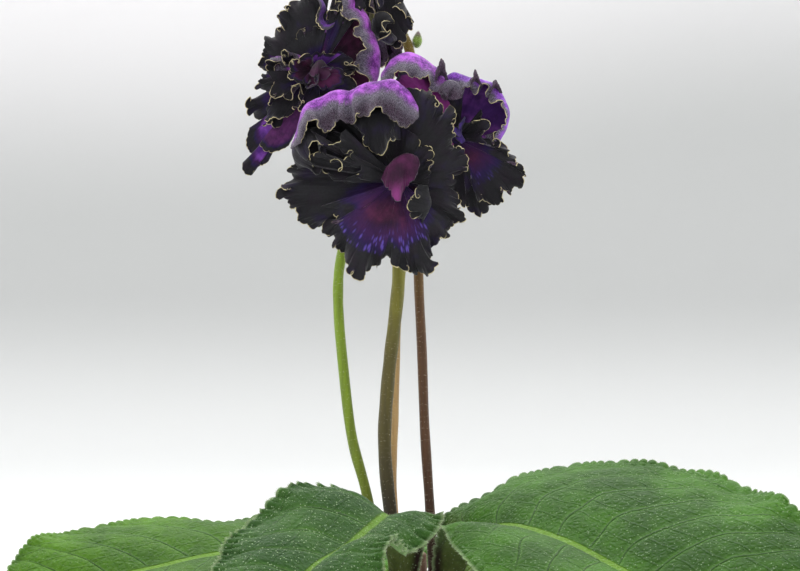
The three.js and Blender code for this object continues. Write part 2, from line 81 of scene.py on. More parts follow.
# The crown from its foot to its top: shares of its radius and of its height.
CROWN_OUTLINE = ((0.7, 0), (1, 0.27), (0.9, 0.73), (0.55, 0.95), (0.12, 0.995))

# Leaves and petals, as in the model of the object.
LEAF_SKIN = 0.45
MIDRIB_WIDTH = 2.6
MIDRIB_DEPTH = 2.9
MIDRIB_TAPER = 0.8
TUBE_MOUTH_RADIUS = 5.2
TUBE_NECK_RADIUS = 2.4
TUBE_WALL = 1
THROAT_DEPTH = 7
CALYX_RADIUS = 3.7
CALYX_LENGTH = 8
CALYX_WALL = 0.45
CALYX_BEHIND = 3
SEPALS = 5
PEDICEL_RADIUS = 1.1
BUD_RADIUS = 1.5
BUD_LENGTH = 5.4
BUD_FOOT = (0.5, 12, 274.5)
BUD_AXIS = (0.12, 0, 1)

# The share of a stalk's radius that its uneven skin has.
STEM_EASE = 0.97

# Hairs: their radius, how far they lean apart, the share of a stalk's radius that they start at,
# and how many there are on a millimetre of stalk or on a whole piece.
HAIR_RADIUS = 0.03
LEAF_HAIR_RADIUS = 0.024
HAIR_SPREAD = 0.35
HAIR_FOOT = 0.97
HAIRS_PER_MM = 9
BUD_HAIRS = 220
TUBE_HAIRS = 900
CALYX_HAIRS = 700
PEDICEL_HAIRS = 260

# A direction that no stalk runs in, to tell the sides of a stalk by.
OFF_AXIS = (0.31, 0.87, 0.38)


# Small helpers for numbers and vectors.

def smoothstep(value, low, high):
    """0 up to low and 1 from high on, smooth between."""
    share = np.clip((value - low) / (high - low), 0, 1)
    return share * share * (3 - 2 * share)


def unit(vector):
    """Vectors made 1 long."""
    vector = np.asarray(vector, dtype=float)
    return vector / np.linalg.norm(vector, axis=-1, keepdims=True)


def wobble(rng, places, wavelength):
    """A smooth random wave of about that wavelength, mostly between -1 and 1."""
    total = np.zeros_like(places, dtype=float)
    for pace, weight in ((0.72, 0.5), (1.0, 0.75), (1.31, 0.5)):
        turns = places * pace / wavelength * rng.uniform(0.93, 1.07) + rng.uniform()
        total += weight * np.sin(2 * math.pi * turns)
    return total / 1.25


def spline(points, shares):
    """A centripetal Catmull-Rom curve through points, at shares of its parameter."""
    points = np.asarray(points, dtype=float)
    first = 2 * points[0] - points[1]
    last = 2 * points[-1] - points[-2]
    line = np.vstack([first, points, last])
    spans = len(points) - 1
    place = np.clip(np.asarray(shares, dtype=float), 0, 1) * spans
    index = np.minimum(place.astype(int), spans - 1)
    t = (place - index)[..., None]
    p0, p1, p2, p3 = (line[index + k] for k in range(4))
    d0, d1, d2 = (
        np.sqrt(np.linalg.norm(b - a, axis=-1, keepdims=True)) for a, b in ((p0, p1), (p1, p2), (p2, p3))
    )
    out = ((p1 - p0) / d0 - (p2 - p0) / (d0 + d1) + (p2 - p1) / d1) * d1
    into = ((p2 - p1) / d1 - (p3 - p1) / (d1 + d2) + (p3 - p2) / d2) * d1
    return p1 + out * t + (3 * (p2 - p1) - 2 * out - into) * t**2 + (2 * (p1 - p2) + out + into) * t**3


# Meshes.

def mesh_object(name, points, faces, material, layers=None):
    """A mesh object from points in millimetres, faces and named values per point."""
    mesh = bpy.data.meshes.new(name)
    mesh.from_pydata((np.asarray(points) * MM).tolist(), [], faces)
    for key, values in (layers or {}).items():
        layer = mesh.attributes.new(key, "FLOAT", "POINT")
        layer.data.foreach_set("value", np.asarray(values, dtype=np.float32).ravel())
    mesh.polygons.foreach_set("use_smooth", [True] * len(mesh.polygons))
    mesh.materials.append(material)
    mesh.update()
    piece = bpy.data.objects.new(name, mesh)
    bpy.context.scene.collection.objects.link(piece)
    return piece


def stand_for(piece, node):
    """The piece rides on the plant's one body and stands for a node."""
    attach(piece, "root")
    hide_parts(node)


def grid_faces(rows, columns, first=0, flip=False, around=False):
    """Quads of a grid of rows by columns points, closed around where it meets itself."""
    wide = columns if around else columns - 1
    i, j = np.meshgrid(np.arange(rows - 1), np.arange(wide), indexing="ij")
    a = i * columns + j
    b = i * columns + (j + 1) % columns
    quads = np.stack([a, b, b + columns, a + columns], -1).reshape(-1, 4) + first
    return (quads[:, ::-1] if flip else quads).tolist()


def grid_normals(points):
    """Unit normals of a grid of points with shape (rows, columns, 3)."""
    along = np.gradient(points, axis=0)
    across = np.gradient(points, axis=1)
    normal = np.cross(along, across)
    return normal / np.maximum(np.linalg.norm(normal, axis=-1, keepdims=True), 1e-9)


def skin_faces(rows, columns):
    """Faces of a closed skin over two grids, the upper one first."""
    count = rows * columns
    faces = grid_faces(rows, columns) + grid_faces(rows, columns, first=count, flip=True)
    bottom = [(j + 1, j) for j in range(columns - 1)]
    last = (rows - 1) * columns
    top = [(last + j, last + j + 1) for j in range(columns - 1)]
    left = [(i * columns, (i + 1) * columns) for i in range(rows - 1)]
    right = [((i + 2) * columns - 1, (i + 1) * columns - 1) for i in range(rows - 1)]
    for a, b in bottom + top + left + right:
        faces.append((b, a, count + a, count + b))
    return faces


def ring_solid(rings, first, last):
    """Points and faces of a closed body from rings of points, closed by a point at each end."""
    sides = len(rings[0])
    points = np.vstack([*rings, [first], [last]])
    faces = grid_faces(len(rings), sides, around=True)
    low, high = len(points) - 2, len(points) - 1
    top = (len(rings) - 1) * sides
    for k in range(sides):
        after = (k + 1) % sides
        faces.append((low, after, k))
        faces.append((high, top + k, top + after))
    return points, faces


def turn_angles(sides):
    """Angles of evenly spread points around a full turn."""
    return np.arange(sides) / sides * 2 * math.pi


def spokes(sides, right=(1, 0, 0), up=(0, 1, 0)):
    """Unit vectors all around, from two unit vectors across the axis."""
    angle = turn_angles(sides)
    return np.cos(angle)[:, None] * right + np.sin(angle)[:, None] * up


def tube_along(path, radii, sides):
    """Points and faces of a closed tube around a path, with one radius per point."""
    path = np.asarray(path, dtype=float)
    heading = unit(np.gradient(path, axis=0))
    side = unit(np.cross(heading[0], OFF_AXIS))
    rings = []
    for point, forward, radius in zip(path, heading, radii):
        side = unit(side - forward * np.dot(side, forward))
        rings.append(point + radius * spokes(sides, side, np.cross(forward, side)))
    return ring_solid(rings, path[0], path[-1])


def axes_towards(direction):
    """Two unit vectors across a direction."""
    direction = unit(direction)
    helper = (1.0, 0.0, 0.0) if abs(direction[0]) < 0.8 else (0.0, 0.0, 1.0)
    side = unit(np.cross(direction, helper))
    return side, np.cross(direction, side)


def turned(profile, sides, start):
    """Points and faces of a body turned around an upright axis, from a profile that ends on it."""
    up = np.array([0.0, 0.0, 1.0])
    start = np.asarray(start, dtype=float)
    ring = spokes(sides, *axes_towards(up))
    rings = [start + z * up + r * ring for r, z in profile[1:-1]]
    return ring_solid(rings, start + profile[0][1] * up, start + profile[-1][1] * up)


def hair_mesh(roots, directions, lengths, radius):
    """Points and faces of short pointed hairs."""
    roots = np.asarray(roots)
    directions = unit(directions)
    helper = np.where(np.abs(directions[:, 2:3]) < 0.8, (0.0, 0.0, 1.0), (1.0, 0.0, 0.0))
    side = unit(np.cross(directions, helper))
    other = np.cross(directions, side)
    corners = [
        roots + radius * (math.cos(turn) * side + math.sin(turn) * other)
        for turn in (0, 2 * math.pi / 3, 4 * math.pi / 3)
    ]
    tips = roots + directions * np.asarray(lengths)[:, None]
    points = np.stack([*corners, tips], 1).reshape(-1, 3)
    faces = []
    for a in range(0, len(points), 4):
        faces += [(a + 2, a + 1, a), (a, a + 1, a + 3), (a + 1, a + 2, a + 3), (a + 2, a, a + 3)]
    return points, faces


def join(*parts):
    """The points and faces of several bodies as those of one."""
    points, faces, first = [], [], 0
    for part_points, part_faces in parts:
        points.append(part_points)
        faces += [tuple(index + first for index in face) for face in part_faces]
        first += len(part_points)
    return np.vstack(points), faces


# Materials.

def linear(red, green, blue):
    """A colour given as it looks on a screen, 0 to 255, in linear light."""
    shares = (red / 255, green / 255, blue / 255)
    return [s / 12.92 if s <= 0.04045 else ((s + 0.055) / 1.055) ** 2.4 for s in shares] + [1.0]


class Shader:
    """A material built from nodes around one principled shader."""

    def __init__(self, name):
        """Starts with the principled shader, its output and the places in the frame."""
        self.material = bpy.data.materials.new(name)
        self.material.use_nodes = True
        self.tree = self.material.node_tree
        self.tree.nodes.clear()
        output = self.node("ShaderNodeOutputMaterial")
        self.surface = self.node("ShaderNodeBsdfPrincipled")
        self.tree.links.new(self.surface.outputs[0], output.inputs[0])
        self.place = self.node("ShaderNodeTexCoord").outputs["Object"]

    def feed(self, socket, value):
        """Links a node's output to a socket, or gives the socket a plain value."""
        if isinstance(value, bpy.types.NodeSocket):
            self.tree.links.new(value, socket)
        else:
            socket.default_value = value

    def set(self, **values):
        """Feeds the principled shader's inputs."""
        for key, value in values.items():
            self.feed(self.surface.inputs[key.replace("_", " ")], value)

    def node(self, kind, inputs=(), **settings):
        """A new node with its settings made and its inputs fed."""
        made = self.tree.nodes.new(kind)
        for key, value in settings.items():
            setattr(made, key, value)
        for key, value in dict(inputs).items():
            self.feed(made.inputs[key], value)
        return made

    def layer(self, name):
        """A named value of the mesh."""
        return self.node("ShaderNodeAttribute", attribute_name=name).outputs["Fac"]

    def coordinate(self, axis):
        """A point's place in the frame, in metres, along axis 0, 1 or 2."""
        return self.node("ShaderNodeSeparateXYZ", {0: self.place}).outputs[axis]

    def noise(self, scale, detail=3.0, roughness=0.55, vector=None):
        """Clouds from 0 to 1, about as many to a metre as the scale."""
        inputs = {"Vector": vector or self.place, "Scale": scale, "Detail": detail, "Roughness": roughness}
        return self.node("ShaderNodeTexNoise", inputs).outputs["Fac"]

    def cells(self, scale, vector=None, feature="F1"):
        """The distance to the middle of a cell, or another feature, with scale cells to a metre."""
        inputs = {"Vector": vector or self.place, "Scale": scale}
        return self.node("ShaderNodeTexVoronoi", inputs, feature=feature).outputs["Distance"]

    def math(self, operation, first, second=0.5, third=0.5):
        """What a named operation makes of two or three values."""
        made = self.node("ShaderNodeMath", {0: first, 1: second, 2: third}, operation=operation)
        return made.outputs[0]

    def times(self, first, second):
        """The product of two values."""
        return self.math("MULTIPLY", first, second)

    def nudged(self, value, by, amount):
        """A value moved up or down by another one, which is 0.5 on average."""
        return self.math("MULTIPLY_ADD", by, amount, self.math("ADD", value, -amount / 2))

    def between(self, value, low, high):
        """0 at low and beyond it, 1 at high and beyond it, smooth between."""
        made = self.node(
            "ShaderNodeMapRange",
            {"Value": value, "From Min": low, "From Max": high},
            interpolation_type="SMOOTHSTEP",
        )
        return made.outputs[0]

    def scaled(self, vector, scale):
        """A place with each of its coordinates scaled."""
        return self.node("ShaderNodeMapping", {"Vector": vector, "Scale": scale}).outputs[0]

    def vector(self, x, y):
        """A place in a plane."""
        return self.node("ShaderNodeCombineXYZ", {0: x, 1: y, 2: 0.0}).outputs[0]

    def mix(self, share, first, second):
        """The first colour at share 0 and the second at share 1, each a socket or a screen colour."""
        first, second = (linear(*end) if isinstance(end, tuple) else end for end in (first, second))
        return self.node("ShaderNodeMix", {0: share, 6: first, 7: second}, data_type="RGBA").outputs[2]

    def blend(self, value, low, high, first, second):
        """The first colour where a value is low or beyond, and the second where it is high."""
        return self.mix(self.between(value, low, high), first, second)

    def bump(self, height, distance, strength=1.0, after=None):
        """Relief from a height, with a distance in millimetres, on top of the relief before it."""
        inputs = {"Height": height, "Distance": distance * MM, "Strength": strength}
        if after is not None:
            inputs["Normal"] = after
        return self.node("ShaderNodeBump", inputs).outputs[0]


def petal_place(shader, across, along):
    """A place on a petal: along its margin and outwards from its foot, each scaled."""
    around = shader.times(shader.layer("around"), across)
    return shader.vector(around, shader.times(shader.layer("radial"), along))


def petal_inside(shader, patches, black, zone):
    """Near black at the margin, then indigo and violet, with magenta or blue in the throat."""
    bright = shader.between(patches, 0.35, 0.65)
    magenta = shader.mix(bright, (34, 12, 30), (74, 28, 58))
    pink = shader.mix(patches, (84, 26, 78), (144, 54, 132))
    blue = shader.mix(bright, (70, 30, 112), (124, 68, 168))
    heart = shader.mix(shader.layer("warm"), magenta, pink)
    heart = shader.mix(shader.layer("cool"), heart, blue)
    colour = shader.blend(zone, 0.85, 1.2, black, (30, 18, 60))
    colour = shader.blend(zone, 1.1, 1.5, colour, (48, 20, 64))
    colour = shader.blend(zone, 1.4, 2.1, colour, heart)
    dim = shader.times(shader.between(shader.noise(230, 3), 0.48, 0.66), 0.35)
    return shader.mix(dim, colour, (28, 14, 30))


def petal_glint(shader, zone):
    """Painted highlights: shining spots in a ring between the dark margin and the magenta."""
    ring = shader.times(shader.between(zone, 0.85, 1.0), shader.between(zone, 1.75, 1.35))
    spots = shader.cells(1.0, vector=petal_place(shader, 0.42, 0.34))
    return shader.times(shader.times(ring, shader.between(spots, 0.48, 0.1)), shader.layer("dots"))


def petal_outside(shader, patches, black):
    """Grey fur along the margin, and lilac, rose or indigo skin beyond it."""
    band = shader.layer("band")
    fuzz = shader.noise(1.0, 3, 0.7, vector=petal_place(shader, 4.2, 1.3))
    tufts = shader.between(fuzz, 0.36, 0.66)
    dusky = shader.mix(tufts, (22, 17, 24), (84, 66, 84))
    grey = shader.mix(tufts, (34, 30, 40), (120, 113, 128))
    fur = shader.blend(band, 0.1, 0.6, dusky, grey)

    mottled = shader.nudged(shader.noise(420, 4, 0.65), patches, 0.8)
    mottled = shader.nudged(mottled, fuzz, 0.9)
    lilac = shader.blend(mottled, 0.25, 0.75, (72, 16, 98), (174, 88, 202))
    indigo = shader.blend(mottled, 0.3, 0.7, (44, 20, 104), (104, 64, 186))
    bright = shader.between(patches, 0.3, 0.7)
    near = shader.mix(bright, (38, 14, 34), (80, 30, 68))
    far = shader.mix(bright, (74, 26, 64), (124, 52, 112))
    rose = shader.blend(shader.layer("radial"), 15.0, 24.0, near, far)
    skin = shader.mix(shader.layer("rosy"), lilac, rose)
    skin = shader.mix(shader.layer("cool"), skin, indigo)

    fringe = shader.nudged(band, fuzz, 0.6)
    colour = shader.blend(fringe, FUR_BAND, 1.2, fur, skin)
    # The share dark paints the outer side near black: partly the petal's own dark, partly painted shade on
    # sheets in the shadow under the hoods and among the other petals.
    return shader.mix(shader.layer("dark"), colour, black)


def gilded(shader, colour):
    """A colour with the gold line of a petal's margin, ragged and paler here and there."""
    ragged = shader.math("MULTIPLY_ADD", shader.noise(900, 1), 0.36, shader.layer("margin"))
    ragged = shader.nudged(ragged, shader.noise(300, 1), 0.5)
    patchy = shader.between(shader.noise(170, 2), 0.3, 0.5)
    strength = shader.math("MULTIPLY_ADD", patchy, 0.9, 0.1)
    gold = shader.mix(shader.noise(500, 2), (146, 128, 84), (240, 230, 184))
    return shader.mix(shader.times(shader.between(ragged, 0.4, 0.2), strength), colour, gold)


def petal_material():
    """Velvet petals, near black with a lit throat inside, and grey fur and lilac outside."""
    shader = Shader("petal_velvet")
    patches = shader.noise(160, 4)
    speckle = shader.noise(1500, 2)
    black = shader.mix(speckle, (15, 15, 17), (33, 32, 36))
    black = shader.blend(patches, 0.5, 0.75, black, (30, 22, 48))
    uneven = shader.math("MULTIPLY_ADD", patches, 0.7, -0.35)
    streaks = shader.noise(0.8, 2, vector=petal_place(shader, 1.0, 0.16))
    zone = shader.nudged(shader.math("ADD", shader.layer("band"), uneven), streaks, 0.5)
    glint = petal_glint(shader, zone)
    # The glint spots are painted highlights: a pale violet put into the colour, with a lower roughness there
    # too.
    inside = shader.mix(glint, petal_inside(shader, patches, black, zone), (78, 58, 142))
    outside = petal_outside(shader, patches, black)

    ribs = shader.noise(1.1, 2, vector=petal_place(shader, 1.0, 0.12))
    creases = shader.noise(0.5, 3, vector=petal_place(shader, 1.0, 0.3))
    relief = shader.bump(speckle, 0.08)
    relief = shader.bump(ribs, 0.08, 0.4, relief)
    relief = shader.bump(creases, 0.35, 1.2, relief)
    shader.set(
        Base_Color=gilded(shader, shader.mix(shader.layer("outer"), inside, outside)),
        Roughness=shader.math("MULTIPLY_ADD", glint, -0.35, 0.75),
        Normal=relief,
        Sheen_Weight=0.12,
        Sheen_Roughness=0.4,
        Specular_IOR_Level=0.18,
    )
    return shader.material


def leaf_veins(shader, edge):
    """How much a point lies on a vein, painted dark, and how much beside a side vein, where a highlight is
    painted.
    """
    fading = shader.times(shader.between(edge, 1.0, 16.0), shader.layer("blade"))
    from_lateral = shader.times(shader.math("PINGPONG", shader.layer("lateral"), 0.5), VEIN_PITCH)
    from_cross = shader.times(shader.math("PINGPONG", shader.layer("cross"), 0.5), CROSS_PITCH)
    lateral = shader.times(shader.between(from_lateral, 0.6, 0.1), fading)
    beside = shader.times(shader.between(from_lateral, 1.8, 0.4), fading)
    cross = shader.times(shader.between(from_cross, 0.5, 0.1), shader.layer("within"))
    return shader.math("MAXIMUM", lateral, shader.times(cross, 0.35)), beside


def leaf_relief(shader, vein, rib, pits):
    """A net of tiny cells, fine grain and pits, with the veins sunk in and the midrib raised."""
    net = shader.between(shader.cells(480, feature="DISTANCE_TO_EDGE"), 0.0, 0.35)
    relief = shader.bump(net, 0.28, 0.6)
    relief = shader.bump(shader.noise(1000, 3), 0.25, 0.7, relief)
    relief = shader.bump(pits, -0.12, 0.8, relief)
    relief = shader.bump(vein, -0.4, 1.0, relief)
    return shader.bump(rib, 0.3, 1.0, relief)


def leaf_material(name, front, lit, down):
    """Quilted leaf tissue, dark in its veins and pits, partly their own colour and partly painted shade,
    paler beside the side veins as a painted highlight, with a yellow-green midrib, pale down and painted
    shade along the petiole's sides.
    """
    shader = Shader(name)
    edge = shader.layer("margin")
    rib = shader.between(shader.layer("rib"), 1.25, 0.7)
    vein, beside = leaf_veins(shader, edge)
    fine = shader.noise(420, 3)
    pits = shader.between(shader.cells(640), 0.28, 0.1)

    tissue = shader.blend(shader.noise(38, 3), 0.35, 0.7, front, lit)
    shaded = shader.mix(0.28, tissue, (28, 62, 26))
    tissue = shader.blend(fine, 0.2, 0.8, shaded, tissue)
    # Painted highlight: a paler tone beside the side veins, on the rims of their grooves.
    tissue = shader.mix(shader.times(beside, 0.3), tissue, (92, 132, 62))
    # The veins painted dark green, partly their own colour and partly painted shade in their sunken grooves;
    # the pits are painted darker as shade in them too.
    tissue = shader.mix(shader.times(vein, 0.65), tissue, (24, 54, 14))
    tissue = shader.mix(shader.times(pits, 0.3), tissue, (26, 50, 18))
    upper = shader.mix(shader.times(rib, 0.7), tissue, (98, 134, 38))
    lower = shader.mix(0.35, (120, 150, 96), tissue)
    colour = shader.mix(shader.layer("under"), upper, lower)
    petiole = shader.mix(fine, (60, 70, 34), (96, 108, 58))
    # Painted shade: the petiole turns dark brown within a few millimetres of its sides, where the hollows
    # around the crown lie in shadow.
    petiole = shader.blend(edge, 3.4, 1.2, petiole, (44, 32, 28))
    colour = shader.mix(shader.layer("petiole"), colour, petiole)
    downy = shader.times(shader.between(shader.cells(880), 0.24, 0.1), down)
    colour = shader.mix(downy, colour, (146, 168, 130))
    rimmed = shader.times(shader.between(edge, 0.9, 0.1), 0.6)
    colour = shader.mix(rimmed, colour, (138, 158, 116))
    shader.set(
        Base_Color=colour,
        Roughness=shader.math("MULTIPLY_ADD", fine, 0.2, 0.5),
        Normal=leaf_relief(shader, vein, rib, pits),
        Sheen_Weight=0.02,
        Sheen_Roughness=0.5,
        Specular_IOR_Level=0.09,
        Subsurface_Weight=0.15,
        Subsurface_Radius=(0.3 * MM, 0.8 * MM, 0.1 * MM),
        Subsurface_Scale=1.0,
    )
    return shader.material


def stalk_material(name, low, middle, high):
    """A stalk that changes colour along its height, with fine lengthwise streaks."""
    shader = Shader(name)
    height = shader.layer("height")
    streaky = shader.noise(900, 2, vector=shader.scaled(shader.place, (1.0, 1.0, 0.06)))
    blotches = shader.noise(140, 2)
    drift = shader.nudged(height, blotches, 0.16)
    colour = shader.blend(drift, 0.05, 0.5, low, middle)
    colour = shader.blend(drift, 0.5, 0.95, colour, high)
    streaked = shader.mix(0.3, colour, (30, 28, 16))
    colour = shader.blend(streaky, 0.3, 0.7, streaked, colour)
    shader.set(
        Base_Color=colour,
        Roughness=shader.math("MULTIPLY_ADD", blotches, 0.2, 0.4),
        Normal=shader.bump(streaky, 0.12, 0.7),
        Specular_IOR_Level=0.3,
        Sheen_Weight=0.04,
        Sheen_Roughness=0.4,
        Subsurface_Weight=0.12,
        Subsurface_Radius=(0.6 * MM, 0.8 * MM, 0.2 * MM),
        Subsurface_Scale=1.0,
    )
    return shader.material


def hair_material(name, colour):
    """Fine plant hairs, each a little lighter or darker than the next."""
    shader = Shader(name)
    tint = shader.noise(700, 1)
    shader.set(
        Base_Color=shader.mix(tint, shader.mix(0.35, colour, (120, 120, 100)), colour),
        Roughness=0.5,
        Specular_IOR_Level=0.5,
    )
    return shader.material


def tube_material():
    """The corolla tube, pale violet outside and magenta in its throat, painted darker deeper in as shade."""
    shader = Shader("corolla_tube")
    along = shader.layer("height")
    outer = shader.layer("outer")
    lines = shader.noise(600, 3)
    outside = shader.blend(along, 0.1, 0.9, (158, 132, 150), (112, 52, 140))
    # Painted shade: the throat's magenta darkens deeper into the hollow.
    throat = shader.blend(along, 0.7, 1.0, (70, 10, 50), (128, 24, 104))
    colour = shader.mix(outer, throat, outside)
    colour = shader.mix(shader.times(lines, 0.3), colour, (60, 22, 66))
    shader.set(Base_Color=colour, Roughness=0.6, Normal=shader.bump(lines, 0.15), Sheen_Weight=0.3)
    return shader.material


def soil_material():
    """Peaty mix: dark crumbs with paler fibres."""
    shader = Shader("potting_mix")
    crumbs = shader.noise(330, 5, 0.7)
    fibres = shader.noise(900, 2, vector=shader.scaled(shader.place, (1.0, 0.2, 1.0)))
    colour = shader.blend(crumbs, 0.3, 0.75, (26, 18, 13), (84, 62, 44))
    colour = shader.blend(fibres, 0.62, 0.8, colour, (132, 102, 72))
    shader.set(Base_Color=colour, Roughness=0.95, Normal=shader.bump(crumbs, 0.8), Specular_IOR_Level=0.2)
    return shader.material


def perlite_material():
    """White grains with fine pits."""
    shader = Shader("perlite")
    pits = shader.cells(900)
    colour = shader.mix(pits, (214, 210, 198), (244, 242, 236))
    shader.set(Base_Color=colour, Roughness=0.9, Normal=shader.bump(pits, 0.3))
    return shader.material


def pot_material():
    """Thin moulded plastic with a fine grain, dust and a few pale water marks."""
    shader = Shader("pot_plastic")
    grain = shader.noise(2400, 2)
    dust = shader.noise(45, 4)
    low = shader.between(shader.coordinate(2), 0.03, 0.0)
    wet = shader.math("MULTIPLY_ADD", low, 0.4, 0.15)
    marks = shader.times(shader.between(dust, 0.45, 0.75), wet)
    colour = shader.mix(grain, (58, 60, 62), (72, 74, 76))
    colour = shader.mix(marks, colour, (150, 146, 136))
    shader.set(
        Base_Color=colour,
        Roughness=shader.math("MULTIPLY_ADD", dust, 0.3, 0.32),
        Normal=shader.bump(grain, 0.03),
    )
    return shader.material


def crown_material():
    """The crown: brown-green, scaly and hairy."""
    shader = Shader("crown")
    scales = shader.noise(300, 4)
    colour = shader.blend(scales, 0.35, 0.7, (62, 50, 28), (120, 118, 62))
    shader.set(Base_Color=colour, Roughness=0.85, Normal=shader.bump(scales, 0.5), Sheen_Weight=0.3)
    return shader.material


# Plain pieces: pot, potting mix, crown, stalks, bud.

def rng_of(name):
    """The random numbers that belong to a name, the same in each run."""
    return np.random.default_rng([ord(letter) for letter in name])


def ripple(rng, points, wavelength):
    """Smooth random height over points of any dimension, mostly between -1 and 1."""
    waves = 7
    total = np.zeros(points.shape[:-1])
    for _ in range(waves):
        heading = unit(rng.normal(size=points.shape[-1]))
        pace = rng.uniform(0.75, 1.3) / wavelength
        total += np.sin(2 * math.pi * (points @ heading * pace + rng.uniform()))
    return total / math.sqrt(waves)


def rounded(profile, radius):
    """A profile with its corners, apart from its ends, rounded off."""
    steps = 4
    profile = [np.array(point, dtype=float) for point in profile]
    smooth = [profile[0]]
    for before, corner, after in zip(profile, profile[1:-1], profile[2:]):
        to_before = min(radius, np.linalg.norm(before - corner) * 0.45)
        to_after = min(radius, np.linalg.norm(after - corner) * 0.45)
        start = corner + unit(before - corner) * to_before
        end = corner + unit(after - corner) * to_after
        for t in np.linspace(0, 1, steps + 1):
            smooth.append((1 - t) ** 2 * start + 2 * t * (1 - t) * corner + t * t * end)
    smooth.append(profile[-1])
    return [tuple(point) for point in smooth]


def apply_modifiers(piece):
    """Makes the shape that a piece's modifiers give its own mesh."""
    graph = bpy.context.evaluated_depsgraph_get()
    shaped = bpy.data.meshes.new_from_object(piece.evaluated_get(graph))
    piece.modifiers.clear()
    old = piece.data
    piece.data = shaped
    bpy.data.meshes.remove(old)


def pot_wall(z):
    """The pot's outer radius at a height."""
    return POT_FOOT_RADIUS + (POT_TOP_RADIUS - POT_FOOT_RADIUS) * z / POT_HEIGHT


def build_pot():
    """The tapered cup with its rim band, and drain holes through its floor."""
    material = pot_material()
    band = POT_HEIGHT - RIM_HEIGHT
    profile = [
        (0, 0),
        (pot_wall(0), 0),
        (pot_wall(band), band),
        (pot_wall(band) + RIM_PROUD, band),
        (pot_wall(POT_HEIGHT) + RIM_PROUD, POT_HEIGHT),
        (pot_wall(POT_HEIGHT) - POT_WALL, POT_HEIGHT),
        (pot_wall(POT_FLOOR) - POT_WALL, POT_FLOOR),
        (0, POT_FLOOR),
    ]
    piece = mesh_object("pot_shell", *turned(rounded(profile, POT_ROUNDING), POT_SIDES, (0, 0, 0)), material)
    depth = POT_FLOOR * 3
    hole = [(0, 0), (DRAIN_RADIUS, 0), (DRAIN_RADIUS, depth), (0, depth)]
    for k in range(DRAIN_HOLES):
        angle = (k + 0.5) / DRAIN_HOLES * 2 * math.pi
        place = (DRAIN_CIRCLE * math.cos(angle), DRAIN_CIRCLE * math.sin(angle), -POT_FLOOR)
        cutter = mesh_object("drain_cutter", *turned(hole, DRAIN_SIDES, place), material)
        cut = piece.modifiers.new("drain", "BOOLEAN")
        cut.operation = "DIFFERENCE"
        cut.object = cutter
        apply_modifiers(piece)
        bpy.data.objects.remove(cutter)
    piece.data.set_sharp_from_angle(angle=math.radians(40))
    stand_for(piece, "pot")


def soil_height(distance):
    """The mix's level: a low mound around the crown."""
    return SOIL_LEVEL - SOIL_SINK + SOIL_MOUND * smoothstep(-distance, -CROWN_RADIUS * 3, -CROWN_RADIUS)


def soil_ring(ring, radius):
    """A ring of the mix's top with its lumps and crumbs."""
    flat = ring[:, :2]
    lumps = 0.9 * ripple(rng_of("soil"), flat, 13) + 0.5 * ripple(rng_of("soil_fine"), flat, 5)
    crumbs = 0.55 * np.abs(ripple(rng_of("soil_crumbs"), flat, 2.6))
    ring[:, 2] = soil_height(radius) + 0.6 * lumps + crumbs
    return ring


def inside_pot(z):
    """The mix's radius at a height."""
    return pot_wall(z) - POT_WALL - SEAT_GAP


def build_mix():
    """The mix: a lumpy top on a body that fills the pot, with loose crumbs and perlite on it."""
    rng = rng_of("potting_mix")
    circle = spokes(MIX_SIDES)
    bottom = POT_FLOOR + SEAT_GAP
    reach = inside_pot(SOIL_LEVEL) - 0.3
    rings = [circle * inside_pot(bottom) + (0, 0, bottom), circle * reach + (0, 0, SOIL_LEVEL - 4)]
    rings += [soil_ring(circle * radius, radius) for radius in np.linspace(reach, 0.8, MIX_RINGS)]
    points, faces = ring_solid(rings, (0, 0, bottom), (0, 0, soil_height(0)))
    stand_for(mesh_object("potting_mix_body", points, faces, soil_material()), "potting_mix")
    for name, count, size, material in (
        ("mix_crumbs", 420, 0.9, soil_material()),
        ("perlite_grains", 70, 0.8, perlite_material()),
    ):
        lumps = [pebble(rng, *soil_place(rng), size * rng.uniform(0.6, 1.5)) for _ in range(count)]
        piece = mesh_object(name, *join(*lumps), material)
        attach(piece, "root")


def soil_place(rng):
    """A random place on the mix, outside the crown."""
    radius = math.sqrt(rng.uniform((CROWN_RADIUS + 4) ** 2, (pot_wall(SOIL_LEVEL) - 5) ** 2))
    turn = rng.uniform(0, 2 * math.pi)
    return radius * math.cos(turn), radius * math.sin(turn)


def pebble(rng, x, y, size):
    """An irregular lump that lies half sunk in the mix."""
    rings, sides = 5, 8
    angle = turn_angles(sides) + rng.uniform(0, 6)
    half_height = size * rng.uniform(0.5, 0.8)
    centre = np.array([x, y, soil_height(math.hypot(x, y)) + half_height * 0.5])
    stacked = []
    for k in range(1, rings + 1):
        tilt = k / (rings + 1) * math.pi
        radius = size * math.sin(tilt) * rng.uniform(0.8, 1.2, sides)
        height = np.full(sides, -half_height * math.cos(tilt))
        stacked.append(centre + np.stack([radius * np.cos(angle), radius * np.sin(angle), height], -1))
    return ring_solid(stacked, centre - (0, 0, half_height), centre + (0, 0, half_height))


